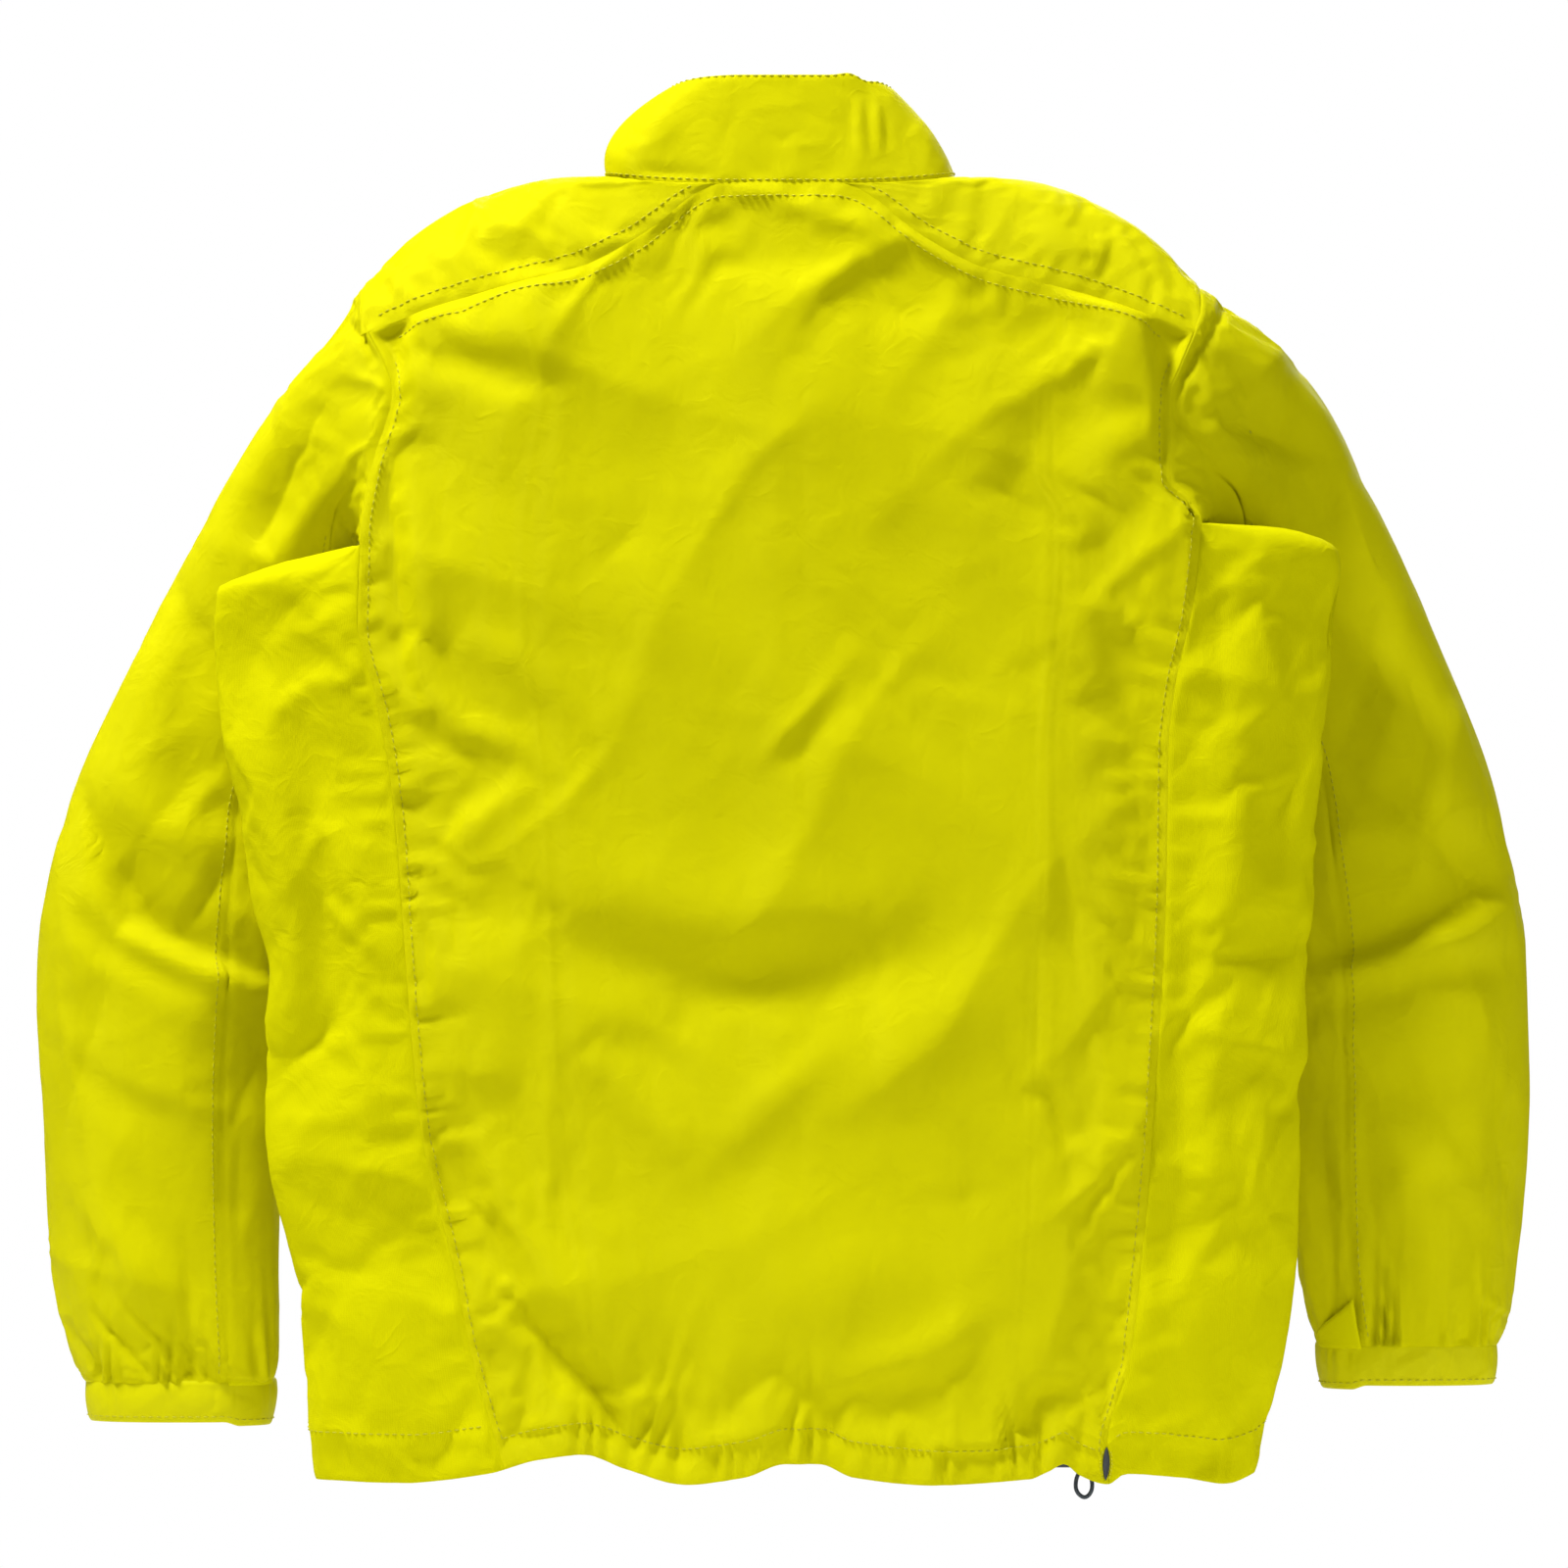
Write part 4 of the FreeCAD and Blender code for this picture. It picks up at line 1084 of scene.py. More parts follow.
def make_group(name: str, inputs: dict[str, tuple[str, object]], outputs: dict[str, str],
               fill: Callable[[Nodes, bpy.types.Node, bpy.types.Node], None]) -> bpy.types.NodeTree:
    """Shader node group with named sockets.

    Args:
        name: name of the group.
        inputs: socket kind and default by name.
        outputs: socket kind by name.
        fill: adds the nodes between the group's input and output.

    Returns:
        The group's tree.
    """
    tree = bpy.data.node_groups.new(name, "ShaderNodeTree")
    for key, (kind, default) in inputs.items():
        socket = tree.interface.new_socket(key, in_out="INPUT", socket_type="NodeSocket" + kind)
        if default is not None:
            socket.default_value = default
    for key, kind in outputs.items():
        tree.interface.new_socket(key, in_out="OUTPUT", socket_type="NodeSocket" + kind)
    nodes = Nodes(tree)
    fill(nodes, nodes.add("NodeGroupInput"), nodes.add("NodeGroupOutput"))
    return tree


def fill_weave(n: Nodes, start: bpy.types.Node, end: bpy.types.Node) -> None:
    """Over-and-under threads: height is |sin| of the two ways, swapped by their checks.

    Args:
        n: adder of the group's nodes.
        start: the group's input node.
        end: the group's output node.
    """
    parts = n.add("ShaderNodeSeparateXYZ")
    n.join(start.outputs["Place"], parts.inputs[0])
    warp = n.sum("MULTIPLY", parts.outputs[0], start.outputs["Threads"])
    weft = n.sum("MULTIPLY", parts.outputs[1], start.outputs["Threads"])
    warp_wave = n.sum("ABSOLUTE", n.sum("SINE", n.sum("MULTIPLY", warp, math.pi)))
    weft_wave = n.sum("ABSOLUTE", n.sum("SINE", n.sum("MULTIPLY", weft, math.pi)))
    turn = n.sum("MODULO", n.sum("ABSOLUTE", n.sum("ADD", n.sum("FLOOR", warp), n.sum("FLOOR", weft))), 2.0)
    over = n.sum("MULTIPLY", warp_wave, turn)
    under = n.sum("MULTIPLY", weft_wave, n.sum("SUBTRACT", 1.0, turn))
    n.join(n.sum("ADD", over, under), end.inputs["Height"])


def fill_rib(n: Nodes, start: bpy.types.Node, end: bpy.types.Node) -> None:
    """Knit ribs: columns of small chevrons, height |sin(columns)| lowered where a stitch turns.

    Args:
        n: adder of the group's nodes.
        start: the group's input node.
        end: the group's output node.
    """
    parts = n.add("ShaderNodeSeparateXYZ")
    n.join(start.outputs["Place"], parts.inputs[0])
    column = n.sum("MULTIPLY", parts.outputs[0], start.outputs["Threads"])
    ridge = n.sum("ABSOLUTE", n.sum("SINE", n.sum("MULTIPLY", column, math.pi)))
    lean = n.sum("MULTIPLY", ridge, 0.6)
    loop = n.sum("ADD", n.sum("MULTIPLY", parts.outputs[1], start.outputs["Threads"]), lean)
    stitch = n.sum("ABSOLUTE", n.sum("SINE", n.sum("MULTIPLY", loop, math.pi)))
    n.join(n.sum("MULTIPLY", ridge, n.sum("MULTIPLY_ADD", stitch, 0.5, 0.5)), end.inputs["Height"])


def fill_crumple(n: Nodes, start: bpy.types.Node, end: bpy.types.Node) -> None:
    """Fine crumpling: a stretched noise folded about its middle, and a slow noise for shade.

    Args:
        n: adder of the group's nodes.
        start: the group's input node.
        end: the group's output node.
    """
    fine = n.add("ShaderNodeTexNoise")
    n.join(start.outputs["Place"], fine.inputs["Vector"])
    n.join(start.outputs["Size"], fine.inputs["Scale"])
    fine.inputs["Detail"].default_value = 4.0
    fine.inputs["Distortion"].default_value = 0.7
    crest = n.sum("ABSOLUTE", n.sum("SUBTRACT", fine.outputs["Fac"], 0.5))
    n.join(n.sum("SUBTRACT", 1.0, n.sum("MULTIPLY", crest, 3.2)), end.inputs["Height"])
    slow = n.add("ShaderNodeTexNoise")
    n.join(start.outputs["Place"], slow.inputs["Vector"])
    slow.inputs["Scale"].default_value = 9.0
    slow.inputs["Detail"].default_value = 5.0
    n.join(slow.outputs["Fac"], end.inputs["Shade"])


class Effects:
    """The shared node groups, each built once."""

    def __init__(self) -> None:
        """Build the weave, the knit rib and the crumple."""
        threads = {"Place": ("Vector", None), "Threads": ("Float", 2500.0)}
        self.weave = make_group("woven_threads", threads, {"Height": "Float"}, fill_weave)
        self.rib = make_group("knit_rib", threads, {"Height": "Float"}, fill_rib)
        self.crumple = make_group("cloth_crumple", {"Place": ("Vector", None), "Size": ("Float", 60.0)},
                                  {"Height": "Float", "Shade": "Float"}, fill_crumple)


class Surface(Enum):
    """Fine structure of a finish."""

    WOVEN = "woven"
    KNIT = "knit"
    SMOOTH = "smooth"


@dataclass(frozen=True)
class Finish:
    """One finish: its colours, gloss and fine structure."""

    name: str
    light: tuple[float, float, float]
    dark: tuple[float, float, float]
    rough: float = 0.6
    surface: Surface = Surface.WOVEN
    threads: float = 2600.0
    thread_depth: float = 0.00012
    crumple: float = 0.0004
    crumple_size: float = 55.0
    sheen: float = 0.0
    metal: float = 0.0
    specular: float = 0.3
    on_cloth: bool = True

    def make(self, effects: Effects) -> bpy.types.Material:
        """Material: colour mixed by a slow random tone and by thread height, which paints shade into the hollows
        between threads; bumped by threads and crumple.

        Args:
            effects: the shared node groups.

        Returns:
            The material.
        """
        material = bpy.data.materials.new(self.name)
        material.use_nodes = True
        tree = material.node_tree
        tree.nodes.clear()
        n = Nodes(tree)
        out = n.add("ShaderNodeOutputMaterial")
        cloth = n.add("ShaderNodeBsdfPrincipled")
        n.join(cloth.outputs[0], out.inputs[0])
        cloth.inputs["Specular IOR Level"].default_value = self.specular
        cloth.inputs["Metallic"].default_value = self.metal
        cloth.inputs["Sheen Weight"].default_value = self.sheen
        cloth.inputs["Sheen Roughness"].default_value = 0.5
        place = n.add("ShaderNodeTexCoord")
        solid = place.outputs["Object"]
        threads_place = place.outputs["UV"] if self.on_cloth else solid
        crumple = n.add("ShaderNodeGroup", node_tree=effects.crumple)
        n.join(solid, crumple.inputs["Place"])
        crumple.inputs["Size"].default_value = self.crumple_size
        tone_and_thread_shade = crumple.outputs["Shade"]
        height = n.sum("MULTIPLY", crumple.outputs["Height"], self.crumple)
        if self.surface is not Surface.SMOOTH:
            group = effects.weave if self.surface is Surface.WOVEN else effects.rib
            threads = n.add("ShaderNodeGroup", node_tree=group)
            n.join(threads_place, threads.inputs["Place"])
            threads.inputs["Threads"].default_value = self.threads
            height = n.sum("ADD", height, n.sum("MULTIPLY", threads.outputs["Height"], self.thread_depth))
            # Thread height also sets the colour: low threads take the dark end, which paints shade into the hollows
            # between threads, on top of the slow random tone.
            tone_and_thread_shade = n.sum("MULTIPLY_ADD", threads.outputs["Height"], 0.35, n.sum("MULTIPLY", tone_and_thread_shade, 0.75))
        ramp = n.add("ShaderNodeMix", data_type="RGBA")
        ramp.inputs[6].default_value = (*self.dark, 1)
        ramp.inputs[7].default_value = (*self.light, 1)
        n.join(tone_and_thread_shade, ramp.inputs[0])
        n.join(ramp.outputs[2], cloth.inputs["Base Color"])
        n.join(n.sum("MULTIPLY_ADD", tone_and_thread_shade, -0.12, self.rough + 0.06), cloth.inputs["Roughness"])
        bump = n.add("ShaderNodeBump")
        bump.inputs["Strength"].default_value = 0.8
        bump.inputs["Distance"].default_value = 1.0
        n.join(height, bump.inputs["Height"])
        n.join(bump.outputs[0], cloth.inputs["Normal"])
        return material


FINISHES: dict[str, Finish] = {f.name: f for f in (
    Finish("shell_nylon", (0.76, 0.725, 0.0), (0.64, 0.61, 0.0), 0.55, crumple=0.0006, specular=0.03),
    Finish("side_stretch", (0.70, 0.675, 0.0), (0.57, 0.55, 0.0), 0.8, Surface.KNIT, 1100, 0.0001, 0.0007, 45,
           specular=0.02),
    Finish("cuff_satin", (0.68, 0.65, 0.0), (0.62, 0.595, 0.0), 0.5, Surface.KNIT, 1800, 0.00006, 0.0002, 70,
           specular=0.06),
    Finish("seam_thread", (0.62, 0.60, 0.01), (0.42, 0.40, 0.0), 0.6, Surface.SMOOTH, crumple=0.0002,
           crumple_size=400),
    Finish("slate_lining", (0.060, 0.068, 0.078), (0.030, 0.035, 0.042), 0.5, crumple=0.0005),
    Finish("woven_tape", (0.60, 0.56, 0.0), (0.40, 0.37, 0.0), 0.7, threads=1400, thread_depth=0.00018,
           on_cloth=False),
    Finish("coil_nylon", (0.62, 0.58, 0.02), (0.42, 0.39, 0.01), 0.34, Surface.SMOOTH, crumple=0.00005,
           crumple_size=300, on_cloth=False),
    Finish("slider_metal", (0.10, 0.11, 0.12), (0.05, 0.055, 0.06), 0.36, Surface.SMOOTH, crumple=0.00006,
           crumple_size=500, metal=0.7, specular=0.5, on_cloth=False),
    Finish("pull_rubber", (0.060, 0.068, 0.080), (0.035, 0.040, 0.048), 0.62, Surface.SMOOTH, crumple=0.0001,
           crumple_size=700, on_cloth=False),
    Finish("slate_cord", (0.075, 0.090, 0.110), (0.020, 0.026, 0.034), 0.6, threads=900, thread_depth=0.0004,
           crumple=0.0001, on_cloth=False),
    Finish("lock_plastic", (0.050, 0.056, 0.064), (0.028, 0.032, 0.038), 0.4, Surface.SMOOTH, crumple=0.00005,
           crumple_size=600, on_cloth=False),
    Finish("spring_steel", (0.58, 0.58, 0.58), (0.40, 0.40, 0.41), 0.28, Surface.SMOOTH, crumple=0.00002,
           crumple_size=900, metal=1.0, specular=0.5, on_cloth=False),
    Finish("label_satin", (0.20, 0.21, 0.22), (0.13, 0.135, 0.14), 0.4, on_cloth=False),
    Finish("studio_floor", (0.86, 0.86, 0.86), (0.82, 0.82, 0.82), 0.9, Surface.SMOOTH, crumple=0.0002,
           crumple_size=8, on_cloth=False),
)}


class Wardrobe:
    """Makes each finish once and puts it on pieces."""

    def __init__(self) -> None:
        """Build the shared effects."""
        self.effects = Effects()
        self.made: dict[str, bpy.types.Material] = {}

    def finish(self, name: str) -> bpy.types.Material:
        """The finish's material, made when it is first asked for."""
        if name not in self.made:
            self.made[name] = FINISHES[name].make(self.effects)
        return self.made[name]

    def dress(self, piece: bpy.types.Object, name: str) -> bpy.types.Object:
        """Put one finish all over a piece.

        Args:
            piece: the piece, mesh or curve.
            name: name of the finish.

        Returns:
            The same piece.
        """
        piece.data.materials.clear()
        piece.data.materials.append(self.finish(name))
        return piece

    def place(self, piece: bpy.types.Object, name: str, slot: str, *nodes: str, body: str = "jacket") -> None:
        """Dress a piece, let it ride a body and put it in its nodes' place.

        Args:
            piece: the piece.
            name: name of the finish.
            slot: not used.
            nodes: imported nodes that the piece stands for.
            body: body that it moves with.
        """
        self.dress(piece, name)
        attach(piece, body)
        if nodes:
            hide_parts(*nodes)

    def dress_node(self, node: str, name: str) -> None:
        """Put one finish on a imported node.

        Args:
            node: name of the node.
            name: name of the finish.
        """
        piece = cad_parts[node]
        if not piece.material_slots:
            piece.data.materials.append(self.finish(name))
        for slot in piece.material_slots:
            slot.material = self.finish(name)


# ------------------------------------------------------------------ body of the jacket
def inset(face: Callable[[Array, Array], Array], depth: float, core: Array) -> Callable[[Array, Array], Array]:
    """The same face carried inwards along its normals by a depth.

    Args:
        face: a face of two shares.
        depth: how far in, in millimetres.
        core: a point on the inner side.

    Returns:
        The inner face.
    """
    def moved(u: Array, v: Array) -> Array:
        """Face minus depth times its unit normal."""
        points = face(u, v)
        return points - grid_normals(points, core) * depth
    return moved


BODY_CORE = (0.0, 31.0, -300.0)
HEM_STITCH_Z = -659.0


def side_core(side: int) -> tuple[float, float, float]:
    """Point inside a side panel, in millimetres."""
    return side * 225.0, 14.0, -430.0


BACK_FOLDS: Lifts = (
    Fold(((30, -260), (9, -283), (-11, -304)), 1.7, 5, FoldForm.SHARP),
    Fold(((38, -265), (17, -291), (-4, -312)), -1.3, 9),
    Fold(((-143, -389), (-50, -420), (53, -410), (110, -400)), -4.2, 26),
    Fold(((-123, -358), (-40, -389), (53, -379)), 2.4, 24),
    Fold(((-208, -126), (-204, -193), (-199, -265)), -3.4, 6, FoldForm.SHARP),
    Fold(((-192, -136), (-189, -203), (-185, -276)), 2.6, 10),
    Fold(((-141, -33), (-135, -69), (-130, -110)), 5.0, 24),
    Fold(((-185, -89), (-154, -99), (-123, -105)), -3.6, 11),
    Fold(((-185, -20), (-192, -58), (-200, -100), (-213, -136), (-223, -162),
          (-230, -185)), -3.4, 9, FoldForm.LAPPED),
    Fold(((185, -27), (193, -69), (201, -115), (201, -146), (211, -167)), 3.6, 9, FoldForm.LAPPED),
    Fold(((157, -33), (172, -74), (183, -126)), 3.6, 20),
    Fold(((126, -58), (136, -120), (141, -193)), -2.0, 20),
    Fold(((-123, -369), (-121, -462), (-123, -575)), 0.9, 4, FoldForm.SHARP),
    Fold(((139, -136), (139, -317), (140, -472)), 0.8, 4, FoldForm.SHARP),
    Fold(((144, -332), (150, -379), (157, -425)), -1.6, 6, FoldForm.SHARP),
    Fold(((136, -472), (145, -493), (151, -513)), -2.2, 6, FoldForm.SHARP),
    Fold(((138, -627), (134, -643), (131, -662)), -4.0, 6, FoldForm.SHARP),
    Fold(((-185, -498), (-143, -575), (-97, -653)), -3.0, 12),
    Fold(((-164, -488), (-123, -570), (-81, -637)), 2.6, 14),
    Fold(((-143, -588), (-112, -627), (-81, -668)), -3.2, 8, FoldForm.SHARP),
    Fold(((-107, -627), (-92, -650), (-76, -674)), -3.4, 7, FoldForm.SHARP),
    Fold(((-94, -649), (-71, -640), (-50, -632)), 1.4, 4, FoldForm.SHARP),
    Fold(((17, -498), (64, -457), (105, -420)), 2.4, 22),
    Fold(((-50, -550), (2, -508), (53, -482)), -2.0, 26),
    Fold(((-24, -601), (33, -575), (84, -570)), 1.8, 22),
    Fold(((-92, -193), (-55, -234), (-14, -260)), 1.8, 24),
    Fold(((53, -172), (84, -214), (126, -245)), -1.8, 24),
    Fold(((-60, -33), (-50, -100), (-55, -172)), -1.6, 30),
    Fold(((173, -617), (171, -637), (171, -656)), -1.6, 3, FoldForm.SHARP),
    Fold(((183, -627), (176, -643), (173, -656)), 1.6, 3, FoldForm.SHARP),
    Fold(((159, -630), (166, -643), (171, -656)), 1.6, 3, FoldForm.SHARP),
    Fold(((180, -667), (178, -675), (177, -683)), -1.6, 4, FoldForm.SHARP),
    Gathers(((-234, -188), (-223, -234), (-213, -276), (-205, -317), (-200, -353), (-199, -410), (-190, -498),
             (-170, -575), (-162, -619), (-144, -677)),
            13.0, 1.0, 11.0, 3),
    Gathers(((-213, -286), (-205, -317), (-200, -353), (-199, -384)), 10.0, 1.3, 15.0, 5),
    Gathers(((225, -177), (216, -224), (207, -265), (204, -301), (203, -369), (195, -498), (188, -581),
             (183, -622), (172, -663)),
            14.0, 0.9, 11.0, 4),
    Gathers(((198, -162), (211, -168), (225, -172)), 7.0, 1.8, 10.0, 6),
    Gathers(((-247, -667), (-50, -667), (105, -667), (256, -667)), 14.0, 1.3, 15.0, 7),
    Gathers(((-185, -671), (-143, -668)), 6.0, 1.6, 9.0, 2),
    Gathers(((-143, -648), (-102, -643), (-50, -661)), 17.0, 1.6, 20.0, 27),
    Gathers(((-19, -661), (2, -653), (33, -661)), 15.0, 1.5, 18.0, 28),
    Gathers(((105, -663), (141, -656), (162, -663)), 11.0, 1.6, 16.0, 29),
    Gathers(((-76, -30), (-32, -4)), 7.0, 0.6, 8.0, 9),
    Fold(((-257, -665), (-50, -665), (105, -665), (265, -665)), -1.0, 1.6, FoldForm.SHARP),
    Fold(((-102, -451), (-76, -482), (-50, -519)), 2.0, 14),
    Fold(((-35, -513), (2, -477), (33, -451)), 1.6, 12),
    Fold(((33, -627), (74, -612), (110, -591)), 1.6, 10),
    Fold(((-190, -265), (-169, -286), (-138, -299)), 2.2, 9),
    Fold(((-177, -358), (-154, -332), (-128, -312)), 1.8, 10),
    Fold(((-169, -234), (-143, -250), (-117, -276)), 1.4, 12),
    Fold(((-123, -120), (-107, -162), (-81, -193)), 1.6, 16),
    Fold(((95, -89), (105, -141), (97, -193)), 1.4, 18),
    Fold(((157, -214), (162, -276), (154, -327)), 1.4, 16),
    Fold(((53, -451), (84, -488), (95, -539)), 1.6, 18),
    Fold(((-76, -648), (-50, -663), (-29, -679)), -1.6, 8),
    Fold(((2, -627), (17, -648), (27, -671)), -1.8, 9),
    Fold(((-14, -632), (-9, -653), (2, -674)), 1.6, 9),
    Ripples(1.5, 180, 11),
    Ripples(0.35, 80, 12),
)
FRONT_FOLDS: Lifts = (
    Fold(((60, -120), (80, -260), (70, -420)), 2.6, 26),
    Fold(((-70, -140), (-95, -300), (-80, -460)), 2.4, 24),
    Fold(((140, -150), (120, -240), (150, -330)), -2.6, 20),
    Fold(((-150, -140), (-120, -250), (-150, -350)), -2.8, 18),
    Fold(((30, -560), (90, -590), (150, -640)), -2.2, 14),
    Fold(((-30, -540), (-100, -600), (-160, -650)), -2.4, 14),
    Fold(((20, -100), (60, -150), (110, -170)), 1.6, 10, FoldForm.SHARP),
    Fold(((-20, -110), (-70, -150), (-120, -190)), 1.6, 10, FoldForm.SHARP),
    Gathers(((-245, -668), (0, -668), (245, -668)), 9.0, 1.0, 9.0, 8),
    Gathers(((10, -660), (10, -70)), 12.0, 0.5, 10.0, 10),
    Gathers(((-10, -660), (-10, -70)), 12.0, 0.5, 10.0, 13),
    Fold(((-255, -659), (0, -659), (255, -659)), -1.0, 1.6, FoldForm.SHARP),
    Ripples(1.8, 170, 21),
    Ripples(0.35, 74, 22),
)
SIDE_FOLDS: Lifts = (
    Fold(((-257, -234), (-247, -317), (-241, -420), (-231, -550)), -2.4, 14),
    Fold(((-272, -245), (-262, -343), (-257, -446)), 2.6, 12),
    Fold(((-226, -369), (-221, -472), (-205, -575), (-190, -648)), 1.8, 12),
    Fold(((-241, -591), (-234, -637), (-231, -679)), -1.4, 8),
    Fold(((276, -214), (265, -317), (255, -446)), -2.2, 14),
    Fold(((245, -214), (237, -343), (229, -472), (219, -601)), 2.4, 14),
    Fold(((216, -369), (211, -498), (203, -601)), -1.4, 10),
    Fold(((234, -617), (229, -648), (226, -679)), -1.2, 7, FoldForm.SHARP),
    Gathers(((-234, -188), (-213, -276), (-200, -353), (-199, -410), (-190, -498), (-170, -575),
             (-144, -677)), 13.0, 0.9, 9.0, 3),
    Gathers(((-247, -668), (-50, -668), (105, -668), (256, -668)), 9.0, 1.1, 9.0, 7),
    Fold(((-257, -665), (-50, -665), (105, -665), (265, -665)), -1.0, 1.6, FoldForm.SHARP),
    Ripples(1.5, 120, 31),
    Ripples(0.5, 60, 32),
)
YOKE_FOLDS: Lifts = (
    Fold(((-123, -14), (-102, -30), (-81, -33)), 1.2, 9),
    Fold(((-169, -27), (-143, -39), (-112, -42)), -1.6, 10),
    Fold(((120, -25), (146, -33), (177, -39)), 1.4, 10),
    Fold(((151, -14), (172, -27), (193, -53)), -1.4, 10),
    Gathers(((-76, -30), (-32, -4)), 7.0, 0.5, 6.0, 9),
    Gathers(((59, -11), (105, -37), (151, -55)), 8.0, 0.5, 6.0, 14),
    Ripples(0.6, 90, 41),
)
PADDING = Settling(pressure=0.8, slack=0.02, frames=12, cap=4.5)
LINING_IN = 11.0
BAG_IN = 13.0
TUNNEL_WALL_IN = 11.6
TUNNEL_CORD_IN = 9.6
TUNNEL_HIGH = 23.4


def cut_slot(piece: bpy.types.Object, place: "ZipPlace", half: float) -> None:
    """Cut a zip slot through a panel with an eight-sided prism, and keep the result as its mesh.

    Args:
        piece: the panel.
        place: the zip's own frame.
        half: half of the zip's length.
    """
    corners = np.array([(-5.8, -half), (-5.8, half), (-3.4, half + 2), (3.4, half + 2),
                        (5.8, half), (5.8, -half), (3.4, -half - 2), (-3.4, -half - 2)])
    points = np.concatenate([place.carry(np.column_stack([corners[:, 0], np.full(8, y), corners[:, 1]]))
                             for y in (-9.0, 9.0)]) * 0.001
    mesh = bpy.data.meshes.new("slot_cutter")
    rim = [[k, (k + 1) % 8, (k + 1) % 8 + 8, k + 8] for k in range(8)]
    faces = [list(range(8))[::-1], list(range(8, 16)), *rim]
    mesh.from_pydata(points.tolist(), [], [face[::-1] for face in faces] if place.flip < 0 else faces)
    cutter = bpy.data.objects.new("slot_cutter", mesh)
    bpy.context.scene.collection.objects.link(cutter)
    cut = piece.modifiers.new("slot", "BOOLEAN")
    cut.operation = "DIFFERENCE"
    cut.solver = "EXACT"
    cut.object = cutter
    bpy.context.view_layer.update()
    done = bpy.data.meshes.new_from_object(piece.evaluated_get(bpy.context.evaluated_depsgraph_get()))
    piece.modifiers.clear()
    piece.data = done
    bpy.data.objects.remove(cutter)


@dataclass(frozen=True)
class ZipPlace:
    """Frame of one zip: origin and its across, outward and up directions, in millimetres."""

    origin: tuple[float, float, float]
    across: tuple[float, float, float] = (1.0, 0.0, 0.0)
    outward: tuple[float, float, float] = (0.0, 1.0, 0.0)
    up: tuple[float, float, float] = (0.0, 0.0, 1.0)
    flip: float = 1.0

    def carry(self, points: Array) -> Array:
        """Origin plus each local coordinate along its own direction, mirrored in x where flip is -1."""
        done = np.array(self.origin) + points @ np.array([self.across, self.outward, self.up])
        return done * np.array([self.flip, 1.0, 1.0])


MAIN_ZIP = ZipPlace((0.0, 82.0, 0.0))
POCKET_ZIPS = {side: ZipPlace((160.0, 65.59, -482.0), (0.9696, -0.2067, 0.1307), (0.2047, 0.9784, 0.0290),
                              (-0.1339, -0.0014, 0.9910), float(side)) for side in (-1, 1)}
POCKET_HALF = 74.67


@dataclass(frozen=True)
class BodyFaces:
    """Outer faces of the body's panels, by side where there are two."""

    back: Array
    fronts: dict[int, Array]
    yokes: dict[int, Array]
    sides: dict[int, Array]


